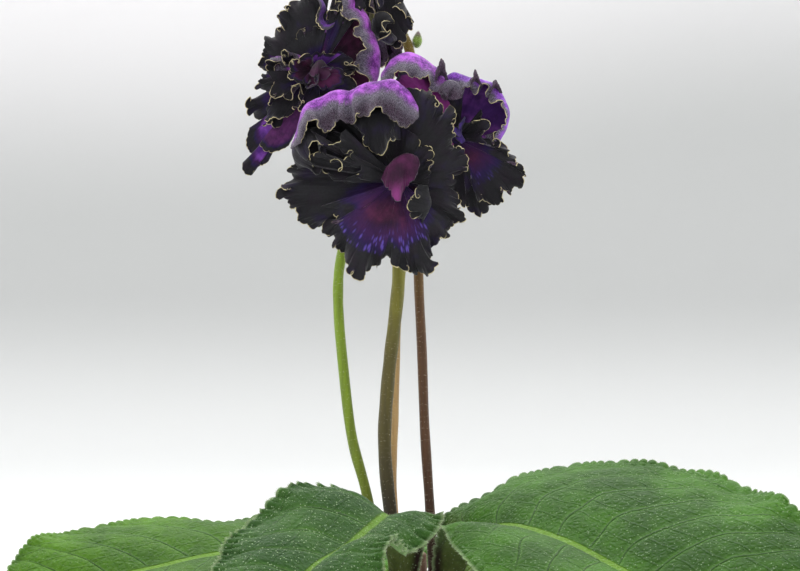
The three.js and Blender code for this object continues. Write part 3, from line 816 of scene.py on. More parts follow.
def build_crown():
    """The short scaly stem that leaves and stalks grow from."""
    rings, sides = 26, 72
    length = CROWN_TOP - CROWN_FOOT
    radii, heights = np.transpose(CROWN_OUTLINE)
    corners = range(len(CROWN_OUTLINE))
    stacked = []
    for share in np.linspace(0, 1, rings):
        corner = share * (len(CROWN_OUTLINE) - 1)
        ring = spokes(sides) * (np.interp(corner, corners, radii) * CROWN_RADIUS)
        ring[:, 2] = CROWN_FOOT + np.interp(corner, corners, heights) * length
        scale = 0.96 + 0.05 * ripple(rng_of("crown"), ring, 5)
        ring[:, :2] *= scale[:, None]
        stacked.append(ring)
    points, faces = ring_solid(stacked, (0, 0, CROWN_FOOT), (0, 0, CROWN_TOP))
    stand_for(mesh_object("crown_stem", points, faces, crown_material()), "crown")


def add_hairs(name, roots, normals, lengths, radius, material, rng):
    """Real short hairs on a surface, each leaning its own way."""
    spread = rng.normal(size=np.shape(roots)) * HAIR_SPREAD
    piece = mesh_object(name, *hair_mesh(roots, normals + spread, lengths, radius), material)
    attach(piece, "root")


def hairs_around(name, roots, start, axis, lengths, rng):
    """Short hairs that stand out from an axis."""
    on_axis = start + axis * ((roots - start) @ axis)[:, None]
    add_hairs(name, roots, unit(roots - on_axis), lengths, HAIR_RADIUS, LEAF_HAIR, rng)


def stem_piece(name, node, points, radius, taper, material, hairs, hair_skin):
    """A stalk with a slightly uneven, tapering skin and a number of fine hairs."""
    rng = rng_of(name)
    steps, sides = 110, 26
    share = np.linspace(0, 1, steps)
    path = spline(points, share)
    radii = radius * STEM_EASE * (1 - (1 - taper) * share) * (1 + 0.03 * wobble(rng, share, 0.13))
    radii *= 1 - 0.35 * smoothstep(share, 0.96, 1.0)
    radii[[0, -1]] *= 0.9
    body, faces = tube_along(path, radii, sides)
    height = np.concatenate([np.repeat(share, sides), [0.0, 1.0]])
    piece = mesh_object(name, body, faces, material, {"height": height})
    stand_for(piece, node)

    rows = rng.integers(4, steps - 3, hairs)
    columns = rng.integers(0, sides, hairs)
    roots = body[rows * sides + columns] + rng.normal(size=(hairs, 3)) * 0.12
    normals = unit(roots - path[rows])
    roots = path[rows] + normals * (radii[rows] * HAIR_FOOT)[:, None]
    lengths = rng.uniform(0.35, 0.85, hairs)
    add_hairs(f"{name}_hairs", roots, normals, lengths, HAIR_RADIUS, hair_skin, rng)


# Each stalk from its foot in the crown to its top: its radius, how much it tapers to, its colours
# from the foot up, and the places that its middle line passes.
STALKS = {
    "stalk_left": dict(
        radius=1.7,
        taper=0.97,
        colours=((100, 112, 26), (112, 136, 28), (118, 146, 34)),
        points=[
            (-8, 3, 92), (-15, 3, 133), (-19.7, 4, 151), (-22.5, 5, 173), (-24.1, 6, 192),
            (-24, 7, 203), (-22, 8, 216), (-22.5, 11, 246),
        ],
    ),
    "stalk_middle": dict(
        radius=2.15,
        taper=1.0,
        colours=((34, 24, 18), (80, 72, 24), (118, 116, 36)),
        points=[
            (-2.5, -4, 93), (-7.5, -4, 127), (-9.5, -3, 150), (-8.4, -2, 170), (-6.6, -1, 186),
            (-5.2, 0, 200), (-4.8, 1, 212),
        ],
    ),
    "stalk_right": dict(
        radius=1.6,
        taper=1.0,
        colours=((48, 24, 18), (86, 56, 30), (116, 100, 34)),
        points=[
            (6, 4, 93), (5.4, 4.6, 117), (4.7, 5, 129), (3.1, 7, 154), (2.2, 8, 179), (1.2, 9, 201),
            (0.8, 11, 240), (-0.6, 12, 268), (-2.9, 12, 278.5),
        ],
    ),
    "stalk_back": dict(
        radius=1.4,
        taper=0.95,
        colours=((164, 126, 84), (176, 144, 96), (160, 138, 80)),
        points=[(-1, 8, 92), (-6.8, 11, 130), (-6.4, 12, 160), (-5.6, 13, 190), (-4.6, 14, 222)],
    ),
    "cut_stalk_stub": dict(
        radius=1.9,
        taper=0.9,
        colours=((88, 62, 52), (106, 76, 64), (136, 102, 86)),
        points=[(2.2, -2, 95), (2.1, -4, 106), (1.8, -5, 116.5)],
    ),
}


def build_stalks():
    """The four stalks and the stub of a cut one, each in its own skin."""
    hair_skin = hair_material("stalk_hairs", (226, 214, 190))
    for name, stalk in STALKS.items():
        material = stalk_material(f"{name}_skin", *stalk["colours"])
        length = sum(np.linalg.norm(np.diff(stalk["points"], axis=0), axis=1))
        stem_piece(
            f"{name}_body", name, stalk["points"], stalk["radius"], stalk["taper"], material,
            int(HAIRS_PER_MM * length), hair_skin,
        )


def build_bud():
    """A small unopened bud, closed at its tip."""
    rings, sides = 16, 30
    axis = unit(BUD_AXIS)
    start = np.array(BUD_FOOT, dtype=float)
    turn = spokes(sides, *axes_towards(axis))
    seams = 1 + 0.05 * np.cos(5 * turn_angles(sides))
    stacked = []
    for share in np.linspace(0.04, 0.97, rings):
        radius = BUD_RADIUS * math.sin(math.pi * share**0.8) ** 0.7 * seams
        stacked.append(start + axis * BUD_LENGTH * share + turn * radius[:, None])
    points, faces = ring_solid(stacked, start, start + axis * BUD_LENGTH)
    height = np.concatenate([np.repeat(np.linspace(0, 1, rings), sides), [0, 1]])
    skin = stalk_material("bud_skin", (96, 124, 44), (120, 150, 58), (112, 92, 96))
    stand_for(mesh_object("bud_body", points, faces, skin, {"height": height}), "bud")

    rng = rng_of("bud")
    centre = start + axis * BUD_LENGTH * 0.5
    roots = points[rng.integers(0, len(points) - 2, BUD_HAIRS)]
    lengths = rng.uniform(0.4, 0.9, len(roots))
    hair_skin = hair_material("bud_hair", (214, 220, 200))
    add_hairs("bud_hairs", roots, unit(roots - centre), lengths, HAIR_RADIUS, hair_skin, rng)


# Leaves.

# Side veins: the distance between them in mm, how far forward they lean and bend, and the
# distance between the cross veins that join them.
VEIN_PITCH = 12.0
VEIN_LEAN = 0.04
VEIN_BEND = 0.015
CROSS_PITCH = 7.0

# Relief in mm: the midrib with its half width and how much narrower it is at the tip, the grooves
# of the veins, their ridges below, and the tissue quilted and puffed between them.
RIB_RISE = 0.35
RIB_HALF_WIDTH = 1.9
RIB_NARROWING = 1.1
LATERAL_GROOVE = 0.32
CROSS_GROOVE = 0.12
VEIN_RIDGE = 0.35
QUILT = 0.12
PUFF = 0.22

# The margin: its teeth and how unevenly they stand, how far it is lifted and sways, and the share
# by which it is thinner.
TOOTH_PITCH = 2.5
TOOTH_DEPTH = 0.9
TOOTH_WANDER = 1.1
TOOTH_ROUNDNESS = 0.55
MARGIN_LIFT = 0.9
SWAY_HEIGHT = 1.1
MARGIN_THINNING = 0.65

# Crimps of a ruffled margin, on its right and on its left side: length and height in mm.
CRIMP_LENGTHS = (3.4, 4.6)
CRIMP_HEIGHTS = (0.55, 1.3)

# How much closer together a leaf's points lie near its margins, and how much longer its hairs are.
COLUMN_CROWDING = 1.4
EDGE_HAIR_GROWTH = 1.8

# Each leaf: how far it puffs up, how finely it is divided, its hairs, the size of its teeth, its
# colours and its down, the stretch of its margin that is ruffled, and places along its midrib and
# its two margins.
LEAVES = {
    "leaf_front_left": dict(
        puff=3, grid=(420, 51), hairs=11000, front=(40, 70, 28), lit=(58, 92, 36), down=0.8,
        ruffled=(0.16, 0.7),
        midrib=[
            (-4, -9, 94), (-6, -20, 116), (-8, -35, 129.5), (-14, -49, 127), (-20, -60, 123),
            (-30, -75, 118), (-42, -98, 103), (-52, -119, 87), (-58, -135, 72),
        ],
        right=[
            (-6.5, -8, 94), (-9, -19, 117), (-23, -28, 136.5), (-35, -38, 139.5), (-45, -50, 132.5),
            (-54, -65, 125), (-57, -78, 118.7), (-66, -103, 101), (-67, -122, 84), (-60, -136, 71),
        ],
        left=[
            (-1, -10, 94), (0.5, -15, 108), (3, -23, 121), (8, -31, 129.6), (6.5, -36, 127),
            (2.5, -44, 123), (-2, -50, 120.8), (-4.7, -54, 123.2), (-8, -60, 124.6), (-10, -68, 121.4),
            (-9, -78, 115), (-15, -90, 105), (-24, -104, 95), (-40, -122, 81), (-56, -136, 71),
        ],
    ),
    "leaf_right": dict(
        puff=4, grid=(480, 57), hairs=5500, front=(40, 72, 16), lit=(62, 104, 24), down=0.45,
        midrib=[
            (7, -6, 94), (12, -11, 111), (18, -16.5, 121), (26.5, -24.5, 125.7), (42.8, -40.8, 123.4),
            (59, -57, 116.3), (80, -78, 106), (100, -98, 94), (118, -116, 81), (130, -128, 70),
        ],
        right=[
            (5.4, -8.2, 94), (5.6, -12.6, 110), (7.6, -21.5, 125), (11.5, -35, 121), (22, -62, 112),
            (38, -85, 103), (60, -106, 92), (84, -121, 80), (108, -128, 71), (129, -130, 69),
        ],
        left=[
            (8.8, -4.2, 94), (15, -8, 112), (11, 3, 126), (27, 5, 136), (57, -1, 143.5),
            (85, -15, 142), (112, -46, 133), (128, -72, 117), (135, -101, 96), (132, -127, 69),
        ],
    ),
    "leaf_back_left": dict(
        puff=3, grid=(300, 45), hairs=2500, teeth=0.5, front=(50, 84, 14), lit=(74, 114, 20), down=0.2,
        midrib=[
            (-8, 2, 93), (-18, -1, 107), (-35, -6, 114), (-58, -12, 116.2), (-81, -16, 112),
            (-104, -18, 107), (-126, -19, 101),
        ],
        left=[
            (-8, -0.5, 93), (-20, -7, 108), (-38, -28, 106), (-60, -42, 103), (-84, -44, 99),
            (-108, -37, 97), (-126, -21, 99),
        ],
        right=[
            (-8, 4.5, 93), (-17, 6, 109), (-36, 12, 122), (-58, 14, 124.4), (-88, 15, 123.4),
            (-112, 7, 121), (-123, -3, 116.5), (-127.5, -17, 103),
        ],
    ),
    "leaf_back_right": dict(
        puff=3, grid=(230, 41), hairs=2000, front=(62, 104, 40), lit=(84, 132, 52), down=0.3,
        midrib=[
            (7, 5, 93), (18, 17, 108), (35, 36, 117), (52, 58, 118), (67, 82, 111), (80, 104, 99),
        ],
        right=[
            (8.6, 3.5, 93), (22, 12, 108), (50, 20, 115), (76, 40, 114), (89, 70, 106), (82, 104, 98),
        ],
        left=[
            (5.4, 6.6, 93), (13, 21, 108), (18, 46, 115), (28, 72, 114), (46, 94, 106), (78, 105, 98),
        ],
    ),
    "leaf_back_small": dict(
        puff=2, grid=(150, 33), hairs=1200, front=(68, 112, 42), lit=(92, 142, 54), down=0.4,
        midrib=[(-3, 8, 94), (-9, 18, 106), (-18, 34, 115), (-27, 52, 113), (-34, 68, 104)],
        left=[(-5, 7.4, 94), (-14, 16, 107), (-34, 26, 113), (-44, 46, 110), (-36, 67, 103.5)],
        right=[(0, 8.6, 94), (4, 16, 110), (3, 34, 117), (-8, 58, 111), (-32, 69, 103.5)],
    ),
}


def by_side(side, right, left):
    """One value on a leaf's right side and another on its left."""
    return np.where(side < 0, right, left)


def dome(phase, power=2.4):
    """0 at whole numbers and 1 halfway between them."""
    return 1 - np.abs(2 * (phase - np.floor(phase)) - 1) ** power


def near_line(phase, pitch, width):
    """1 on the lines at whole numbers of phase, fading within a width in millimetres."""
    away = np.abs(phase - np.round(phase)) * pitch
    return np.exp(-((away / width) ** 2))


def leaf_lines(shape):
    """Shares along and across a leaf, its midrib, its length so far and its margins."""
    rows, columns = shape["grid"]
    u = np.linspace(0, 1, rows)[:, None]
    side = np.linspace(-1, 1, columns)[None, :]
    side = np.sign(side) * (1 - (1 - np.abs(side)) ** COLUMN_CROWDING)
    middle, right, left = (spline(shape[key], u[:, 0])[:, None, :] for key in ("midrib", "right", "left"))
    steps = np.linalg.norm(np.diff(middle[:, 0], axis=0), axis=1)
    along = np.concatenate([[0], np.cumsum(steps)])[:, None]
    return u, side, middle, along, by_side(side[..., None], right, left)


def toothed(rng, side, along):
    """1 on the rounded teeth of a leaf's margin and 0 in the notches between them."""
    teeth = by_side(
        side,
        along + TOOTH_WANDER * wobble(rng, along, 17),
        along + TOOTH_WANDER * wobble(rng, along, 15),
    )
    return np.abs(np.sin(math.pi * teeth / TOOTH_PITCH)) ** TOOTH_ROUNDNESS


def vein_lines(rng, side, along, across, blade):
    """Where each point lies among a leaf's side veins and the cross veins between them."""
    lean = VEIN_LEAN * across + VEIN_BEND * across**2
    shift = by_side(side, 0.0, 0.5)
    lateral = (along - lean) / VEIN_PITCH + shift + 0.06 * wobble(rng, along + across, 31)
    cross = across / CROSS_PITCH + 0.37 * np.floor(lateral) + 0.06 * wobble(rng, along, 13)
    within = smoothstep(across, 2.0, 9.0) * blade
    lateral_line = near_line(lateral, VEIN_PITCH, 1.1) * blade * smoothstep(across, 0.5, 3)
    cross_line = near_line(cross, CROSS_PITCH, 1.0) * within
    return lateral, cross, within, lateral_line, cross_line


def crimped(rng, shape, u, side, along, reached):
    """How high the margin of a leaf stands where it is crimped."""
    low, high = shape["ruffled"]
    part = smoothstep(u, low, low + 0.06) * smoothstep(-u, -high, -high + 0.06)
    place = along + 0.8 * wobble(rng, along, 15)
    crimp = np.sin(2 * math.pi * place / by_side(side, *CRIMP_LENGTHS))
    return by_side(side, *CRIMP_HEIGHTS) * crimp * reached**8 * part


def leaf_grid(name, shape):
    """The leaf's middle surface and the named values at its points."""
    rng = rng_of(name)
    u, side, middle, along, edge = leaf_lines(shape)
    width = np.linalg.norm(edge - middle, axis=-1)
    reached = np.abs(side) + 0 * u
    across = reached * width
    blade = smoothstep(width, 3, 12)
    near_edge = smoothstep(reached, 0.86, 1.0)

    teeth = toothed(rng, side, along)
    tooth = TOOTH_DEPTH * shape.get("teeth", 1.0) * (teeth - 0.6) * blade
    stretch = reached + tooth / np.maximum(width, 1) * near_edge
    points = middle + (edge - middle) * stretch[..., None]
    points[..., 2] += shape["puff"] * np.sin(math.pi * reached) * np.sin(math.pi * u)

    lateral, cross, within, lateral_line, cross_line = vein_lines(rng, side, along, across, blade)
    quilt = dome(lateral) * within
    puffs = dome(lateral, 1.6) * dome(cross, 1.8) * within
    from_rib = across / (RIB_HALF_WIDTH - RIB_NARROWING * u)
    rib = np.exp(-(from_rib**2)) * (1 - 0.35 * u)
    height = QUILT * quilt + PUFF * puffs + MARGIN_LIFT * near_edge * teeth * blade
    veins = RIB_RISE * rib * smoothstep(u, 0.05, 0.2) - LATERAL_GROOVE * lateral_line
    height += veins - CROSS_GROOVE * cross_line
    sway = by_side(side, wobble(rng, along, 26), wobble(rng, along, 22))
    height += SWAY_HEIGHT * sway * smoothstep(reached, 0.55, 1.0) * blade
    if "ruffled" in shape:
        height += crimped(rng, shape, u, side, along, reached)
    points = points + grid_normals(points) * height[..., None]

    layers = dict(
        lateral=lateral,
        cross=cross,
        blade=blade * smoothstep(across, 0.5, 3),
        within=within,
        rib=from_rib,
        margin=(1 - reached) * width,
        petiole=smoothstep(-u, -0.26, -0.13) + 0 * side,
    )
    return points, across, reached, np.maximum(lateral_line, cross_line), layers


def build_leaf(name, shape):
    """A leaf's closed skin with its midrib and veins standing out below, and its hairs."""
    points, across, reached, lines, layers = leaf_grid(name, shape)
    rows, columns = shape["grid"]
    share = np.linspace(0, 1, rows)[:, None]
    normal = grid_normals(points)
    thin = 1 - MARGIN_THINNING * smoothstep(reached, 0.88, 1.0)
    rib = MIDRIB_DEPTH * (1 - MIDRIB_TAPER * share) * np.exp(-((across / MIDRIB_WIDTH) ** 2))
    ridges = VEIN_RIDGE * lines * smoothstep(across, 1.0, 4.0)
    top = points + normal * (LEAF_SKIN * thin)[..., None]
    below = points - normal * (LEAF_SKIN * thin + rib + ridges)[..., None]
    skin = np.vstack([top.reshape(-1, 3), below.reshape(-1, 3)])
    layers = {key: np.tile(values.ravel(), 2) for key, values in layers.items()}
    layers["under"] = np.repeat([0.0, 1.0], rows * columns)
    material = leaf_material(f"{name}_tissue", shape["front"], shape["lit"], shape["down"])
    piece = mesh_object(f"{name}_blade", skin, skin_faces(rows, columns), material, layers)
    stand_for(piece, name)
    add_leaf_hairs(f"{name}_hairs", points, top, normal, shape["hairs"])


def add_leaf_hairs(name, points, top, normal, count):
    """Hairs on a leaf, half of them longer and along its margins."""
    rows, columns = points.shape[:2]
    rng = rng_of(name)
    row = rng.integers(2, rows - 1, count)
    column = rng.integers(0, columns, count)
    edge_count = count // 2
    column[:edge_count] = np.where(rng.random(edge_count) < 0.5, 0, columns - 1)
    up = normal[row, column] + 0
    out = unit(points[row, column] - points[row, np.where(column == 0, 1, column - 1)])
    up[:edge_count] = up[:edge_count] * 0.5 + out[:edge_count]
    roots = top[row, column] + (points[row - 1, column] - points[row, column]) * rng.random((count, 1))
    lengths = rng.uniform(0.25, 0.55, count)
    lengths[:edge_count] *= EDGE_HAIR_GROWTH
    add_hairs(name, roots, up, lengths, LEAF_HAIR_RADIUS, LEAF_HAIR, rng)


# Petals and flowers.

# Half the thickness of a petal and of its margin, and the radius of its foot in the throat, in mm.
PETAL_SKIN = 0.2
MARGIN_SKIN = 0.08
FOOT_RADIUS = 1.5

# How finely a petal is divided: points of its outlines, mm from column to column, its rows, and
# how much closer together they lie near the margin.
LINE_STEPS = 500
COLUMN_STEP = 0.35
PETAL_ROWS = 12
ROW_CROWDING = 1.7

# How much longer a gathered margin is than the rim it follows, how short the foot's row is, and
# how many mm at either end lie flat.
EXCESS = 1.6
FOOT_LENGTH = 0.3
END_FADE = 6

# Waves of a petal's margin: wavelength in mm along the edge, steepness in degrees, and the share
# of the way out at which they begin. Their crests lean outwards by the tilt.
RUFFLES = ((30.0, 14.0, 0.0), (14.0, 32.0, 0.45), (7.0, 46.0, 0.68), (3.3, 40.0, 0.84))
RUFFLE_TILT = 20.0

# Rounded scallops of its outline: width in mm along the edge and depth of the notches in mm, which
# are shallower on a petal that reaches less far.
SCALLOPS = ((10.0, 1.1), (4.2, 0.6))
SCALLOP_POWER = 0.6
SCALLOP_REACH = 6

# Rolling of the margin: broad waves with their lengths and shares, then crisp curls of the last
# few millimetres.
ROLL_FROM = 0.6
ROLL_WAVES = ((26, 0.8), (13, 0.4))
CRISP_WAVE = 15.0
CRISP_ROLL = 100.0
CRISP_REACH = 2.8

# Small loops of the last few millimetres: length in mm along the edge and size in mm.
CURLS = ((7.5, 0.85), (3.4, 0.65), (2.2, 0.3))
CURL_REACH = 3.0
CURL_LIFT = 0.6

# How far the dark margin reaches along a petal's free sides, towards its foot, in mm.
SIDE_FADE = 9.0

# Values of the band on a petal's outer side: the fur ends there, and the ridge of a hood lies there.
FUR_BAND = 0.7
RIDGE_BAND = 1.6

# The magenta glow of a lip: its heart, and how fast it fades to black.
GLOW_HEART = 2.3
GLOW_FADE = 1.15

# A horn's outline from side to side: pixels across, and shares of its height below its tip.
HORN_OUTLINE = ((7, 1), (4, 0.5), (0, 0), (-4, 0.5), (-7, 1))

# The corolla tube and the calyx: how finely they are divided, and from foot to mouth the shares of
# their length with the tube's radius there in times that of its neck, and shares of the calyx's.
TUBE_SIDES = 60
TUBE_RINGS = 26
TUBE_OUTLINE = (
    (0.0, 1.0), (0.25, 1.15), (0.45, 1.35), (0.7, 1.62), (0.88, 1.9),
    (1.0, TUBE_MOUTH_RADIUS / TUBE_NECK_RADIUS),
)
CALYX_SIDES = 100
CALYX_OUTLINE = ((0, 0.42), (0.08, 0.62), (0.35, 0.9), (0.75, 1.0), (1, 0.98))


def flower_axes(flower):
    """The directions of a flower: where it faces, its up and its right."""
    face = unit(np.subtract(flower["throat"], flower["back"]))
    up = unit(np.array([0, 0, 1]) - face * face[2])
    right = np.array([1.0, 0, 0]) - face * face[0]
    right = unit(right - up * np.dot(right, up))
    return face, up, right


def seen(pixels, y):
    """Places in millimetres of points seen at pixels of the photograph, at a depth y."""
    pixels = np.asarray(pixels, dtype=float)
    scale = (y - CAMERA_PLACE[1]) / -CAMERA_PLACE[1] / PIXELS_PER_MM
    x = CAMERA_PLACE[0] + (pixels[:, 0] - IMAGE_WIDTH / 2) * scale
    z = CAMERA_PLACE[2] + (IMAGE_HEIGHT / 2 - pixels[:, 1]) * scale
    return np.stack([x, np.full_like(x, y), z], -1)


def places_along(points, share):
    """Places on a curve through points, at shares of its length, and that length."""
    dense = spline(points, np.linspace(0, 1, LINE_STEPS))
    lengths = np.concatenate([[0], np.cumsum(np.linalg.norm(np.diff(dense, axis=0), axis=1))])
    shares = lengths / lengths[-1]
    return np.stack([np.interp(share, shares, dense[:, k]) for k in range(3)], -1), lengths[-1]


def sheet_places(flower, petal, share, reach):
    """A petal's smooth sheet: it rises from its foot in the throat, over its ridge, to its rim.

    The second value is how far out its ridge lies, from 0 to 1.
    """
    throat = np.asarray(flower["throat"], dtype=float)
    face, up, right = flower_axes(flower)
    root = throat
    if petal["root"]:
        pixel, ahead = petal["root"]
        root = seen([pixel], throat[1] - ahead)[0]
    start, end = petal["foot"]
    turn = np.radians(start + (end - start) * share)[..., None]
    foot = root + FOOT_RADIUS * (np.cos(turn) * right + np.sin(turn) * up)
    rim, _ = places_along(seen(petal["rim"], throat[1] - petal["forward"]), share)
    if petal["ridge"]:
        ridge, _ = places_along(seen(petal["ridge"], throat[1] - petal["ridge_forward"]), share)
    else:
        ridge = (foot + rim) / 2 + face * petal["bulge"]
    before = np.linalg.norm(ridge - foot, axis=-1, keepdims=True)
    after = np.linalg.norm(rim - ridge, axis=-1, keepdims=True)
    middle = before / (before + after)
    control = (ridge - (1 - middle) ** 2 * foot - middle**2 * rim) / (2 * middle * (1 - middle))
    reach = reach[..., None]
    return (1 - reach) ** 2 * foot + 2 * reach * (1 - reach) * control + reach**2 * rim, middle[..., 0]


def notched(rng, place, width):
    """0 on the crests of rounded scallops and 1 in the narrow notches between them."""
    turns = place / width + 0.3 * wobble(rng, place, 3 * width) + rng.uniform()
    strength = 0.65 + 0.35 * wobble(rng, place, 4 * width)
    return strength * (1 - np.abs(np.sin(math.pi * turns)) ** SCALLOP_POWER)


def gathered(rng, row, place, perimeter, ends, amount):
    """How far along its row each point stands, and how high it rises, in a gathered margin."""
    steepness = np.zeros((len(row), len(place)))
    for wavelength, degrees, begins in RUFFLES:
        growth = smoothstep(row, begins, 1.0)[:, None]
        steepness += growth * np.radians(degrees) * amount * wobble(rng, place, wavelength) * ends
    row_length = perimeter * (FOOT_LENGTH + (1 - FOOT_LENGTH) * row)[:, None]
    advance = np.cumsum(np.cos(steepness), axis=1)
    advance -= advance[:, :1]
    total = advance[:, -1:]
    rise = np.cumsum(np.sin(steepness), axis=1) / total * row_length
    rise -= rise[:, :1]
    rise -= rise[:, -1:] * np.linspace(0, 1, len(place))
    return np.clip(advance / total, 0, 1), rise


def scalloped(rng, flower, petal, share, row, place, ends):
    """A petal's smooth sheet with scallops cut into its rim, and how far out its ridge lies."""
    notches = sum(depth * notched(rng, place, width) for width, depth in SCALLOPS)
    whole, middle = sheet_places(flower, petal, share, np.broadcast_to(row, share.shape))
    far = np.linalg.norm(np.diff(whole, axis=0), axis=-1).sum(axis=0)
    reach = row * (1 - notches / np.maximum(far, SCALLOP_REACH) * ends * row**5)
    return sheet_places(flower, petal, share, reach)[0], middle


def roll_angles(rng, petal, row, place, to_margin):
    """How far the sheet is turned up at each point, in degrees: broadly, and crisply at its margin."""
    waves = sum(share * wobble(rng, place, wavelength) for wavelength, share in ROLL_WAVES)
    broad = petal["roll"] + petal["roll_wave"] * waves
    crisp = petal["crisp"] * np.clip(wobble(rng, place, CRISP_WAVE), -0.3, 1)
    return broad * smoothstep(row, ROLL_FROM, 1.0) + crisp * smoothstep(-to_margin, -CRISP_REACH, 0)


def rolled(smooth, normal, rise, roll):
    """A sheet bent along its length by the angles of roll, with its waves on it."""
    strides = np.diff(smooth, axis=0)
    steps = np.linalg.norm(strides, axis=-1, keepdims=True)
    halfway = ((roll[1:] + roll[:-1]) / 2)[..., None]
    upright = unit(normal[1:] + normal[:-1])
    bent = strides * np.cos(halfway) + upright * steps * np.sin(halfway)
    sheet = np.concatenate([smooth[:1], smooth[:1] + np.cumsum(bent, axis=0)])
    outward = unit(np.gradient(smooth, axis=0))
    lean = (roll - math.radians(RUFFLE_TILT))[..., None]
    return sheet + (normal * np.cos(lean) - outward * np.sin(lean)) * rise[..., None]


def curled(rng, place, to_margin, smooth, normal):
    """How far each point moves where the margin lies in small rounded loops."""
    outward = unit(np.gradient(smooth, axis=0))
    sideways = np.cross(normal, outward)
    shift = np.zeros_like(normal)
    for length, size in CURLS:
        turn = 2 * math.pi * (place / length + 0.4 * wobble(rng, place, 3 * length))
        strength = size * np.clip(0.5 + 0.6 * wobble(rng, place, 5 * length), 0, 1)
        circle = sideways * np.sin(turn)[:, None] + outward * np.cos(turn)[:, None]
        shift += (circle + CURL_LIFT * normal * np.sin(turn)[:, None]) * strength[:, None]
    return shift * smoothstep(-to_margin, -CURL_REACH, 0)[..., None]


def inner_zones(flower, petal, smooth, share, row, perimeter, to_margin):
    """How far each point lies inside the dark margin, in widths of it, and how much painted glint it has."""
    painted_glint_share = petal["dots"] * smoothstep(row + 0 * share, 0.3, 0.6)
    if petal["glow"]:
        across, high, wide, tall = flower["glow"]
        off = smooth - flower["throat"]
        away = np.hypot((off[..., 0] - across) / wide, (off[..., 2] - high) / tall)
        within = np.minimum(to_margin / petal["black"], GLOW_HEART - GLOW_FADE * away)
        return within, painted_glint_share * smoothstep(high - off[..., 2], 1, 4)
    to_side = np.minimum(share, 1 - share) * perimeter * (0.25 + 0.4 * row) * petal["sides"]
    to_side = to_side + SIDE_FADE * (1 - row)
    return np.minimum(to_margin, to_side) / petal["black"], painted_glint_share


def petal_layers(petal, zones, from_foot, middle, place, ends):
    """The named values of a sheet's points, those of its inner side first."""
    within, painted_glint_share = zones
    to_margin = from_foot[-1] - from_foot
    edge = to_margin + 2 * smoothstep(-from_foot, -7, -3) + 2 * petal["plain"] + 2 * (1 - ends)
    outside = to_margin / petal["grey"]
    if petal["lilac"]:
        outside = RIDGE_BAND - (from_foot - middle * from_foot[-1]) / petal["lilac"]
    inside = outside if petal["furred"] else within
    layers = {
        "margin": np.tile(edge.ravel(), 2),
        "band": np.concatenate([inside.ravel(), outside.ravel()]),
        "outer": np.repeat([petal["furred"], 1.0], from_foot.size),
        "radial": np.tile(from_foot.ravel(), 2),
        "around": np.tile(np.broadcast_to(place, from_foot.shape).ravel(), 2),
    }
    for key in ("warm", "rosy", "dark", "cool"):
        layers[key] = np.full(2 * from_foot.size, petal[key])
    layers["dots"] = np.tile(painted_glint_share.ravel(), 2)
    return layers


def petal_skin(rng, flower, petal):
    """The two sides of one sheet, the way it faces, and its named values."""
    rim = seen(petal["rim"], flower["throat"][1] - petal["forward"])
    _, perimeter = places_along(rim, np.zeros(1))
    material_length = perimeter * EXCESS
    columns = int(material_length / COLUMN_STEP)
    place = np.linspace(0, material_length, columns)
    row = 1 - (1 - np.linspace(0, 1, PETAL_ROWS)) ** ROW_CROWDING
    ends = smoothstep(place, 0, END_FADE) * smoothstep(-place, -material_length, END_FADE - material_length)
    share, rise = gathered(rng, row, place, perimeter, ends, petal["ruffled"])
    row = row[:, None]
    smooth, middle = scalloped(rng, flower, petal, share, row, place, ends)
    normal = grid_normals(smooth)
    steps = np.linalg.norm(np.diff(smooth, axis=0), axis=-1)
    from_foot = np.vstack([np.zeros(columns), np.cumsum(steps, axis=0)])
    to_margin = from_foot[-1] - from_foot
    roll = roll_angles(rng, petal, row, place, to_margin)
    points = rolled(smooth, normal, rise, np.radians(roll * ends))
    loops = curled(rng, place, to_margin, smooth, normal)
    points = points + loops * (petal["loops"] * ends)[:, None]
    skin = (MARGIN_SKIN + (PETAL_SKIN - MARGIN_SKIN) * smoothstep(to_margin, 0, 3))[..., None]
    facing = grid_normals(points)
    zones = inner_zones(flower, petal, smooth, share, row, perimeter, to_margin)
    layers = petal_layers(petal, zones, from_foot, middle, place, ends)
    return points + facing * skin, points - facing * skin, facing, layers


def build_petal(letter, flower, name, sheets, material):
    """One petal: its sheets rise from the throat beside each other, ruffled and rolled."""
    node = f"petal_{letter}_{name}"
    rng = rng_of(node)
    skins = [petal_skin(rng, flower, petal) for petal in sheets]
    bodies = [
        (np.vstack([upper.reshape(-1, 3), below.reshape(-1, 3)]), skin_faces(*upper.shape[:2]))
        for upper, below, _, _ in skins
    ]
    layers = {key: np.concatenate([values[key] for *_, values in skins]) for key in skins[0][-1]}
    stand_for(mesh_object(f"{node}_velvet", *join(*bodies), material, layers), node)
    for petal, (_, below, facing, values) in zip(sheets, skins):
        if petal["hairs"]:
            band = values["band"][facing[..., 0].size:].reshape(facing.shape[:2])
            add_fur(f"{node}_fur", below, -facing, np.argwhere(band[:-1] < FUR_BAND), petal["hairs"], rng)


def add_fur(name, surface, facing, places, count, rng):
    """Soft hairs over the grey margin of a petal's outer side, given by its rows and columns."""
    row, column = places[rng.integers(0, len(places), count)].T
    share = rng.random((count, 1))
    roots = surface[row, column] * share + surface[row + 1, column] * (1 - share)
    lengths = rng.uniform(0.4, 1.0, count)
    add_hairs(name, roots, facing[row, column], lengths, HAIR_RADIUS, PETAL_HAIR, rng)


# Each petal is one or more sheets. A sheet's foot is an arc of the throat, in degrees counted from
# the right. Its rim, and the ridge that a folded sheet goes over, are seen at pixels of the
# photograph and stand a number of millimetres forward of the throat.

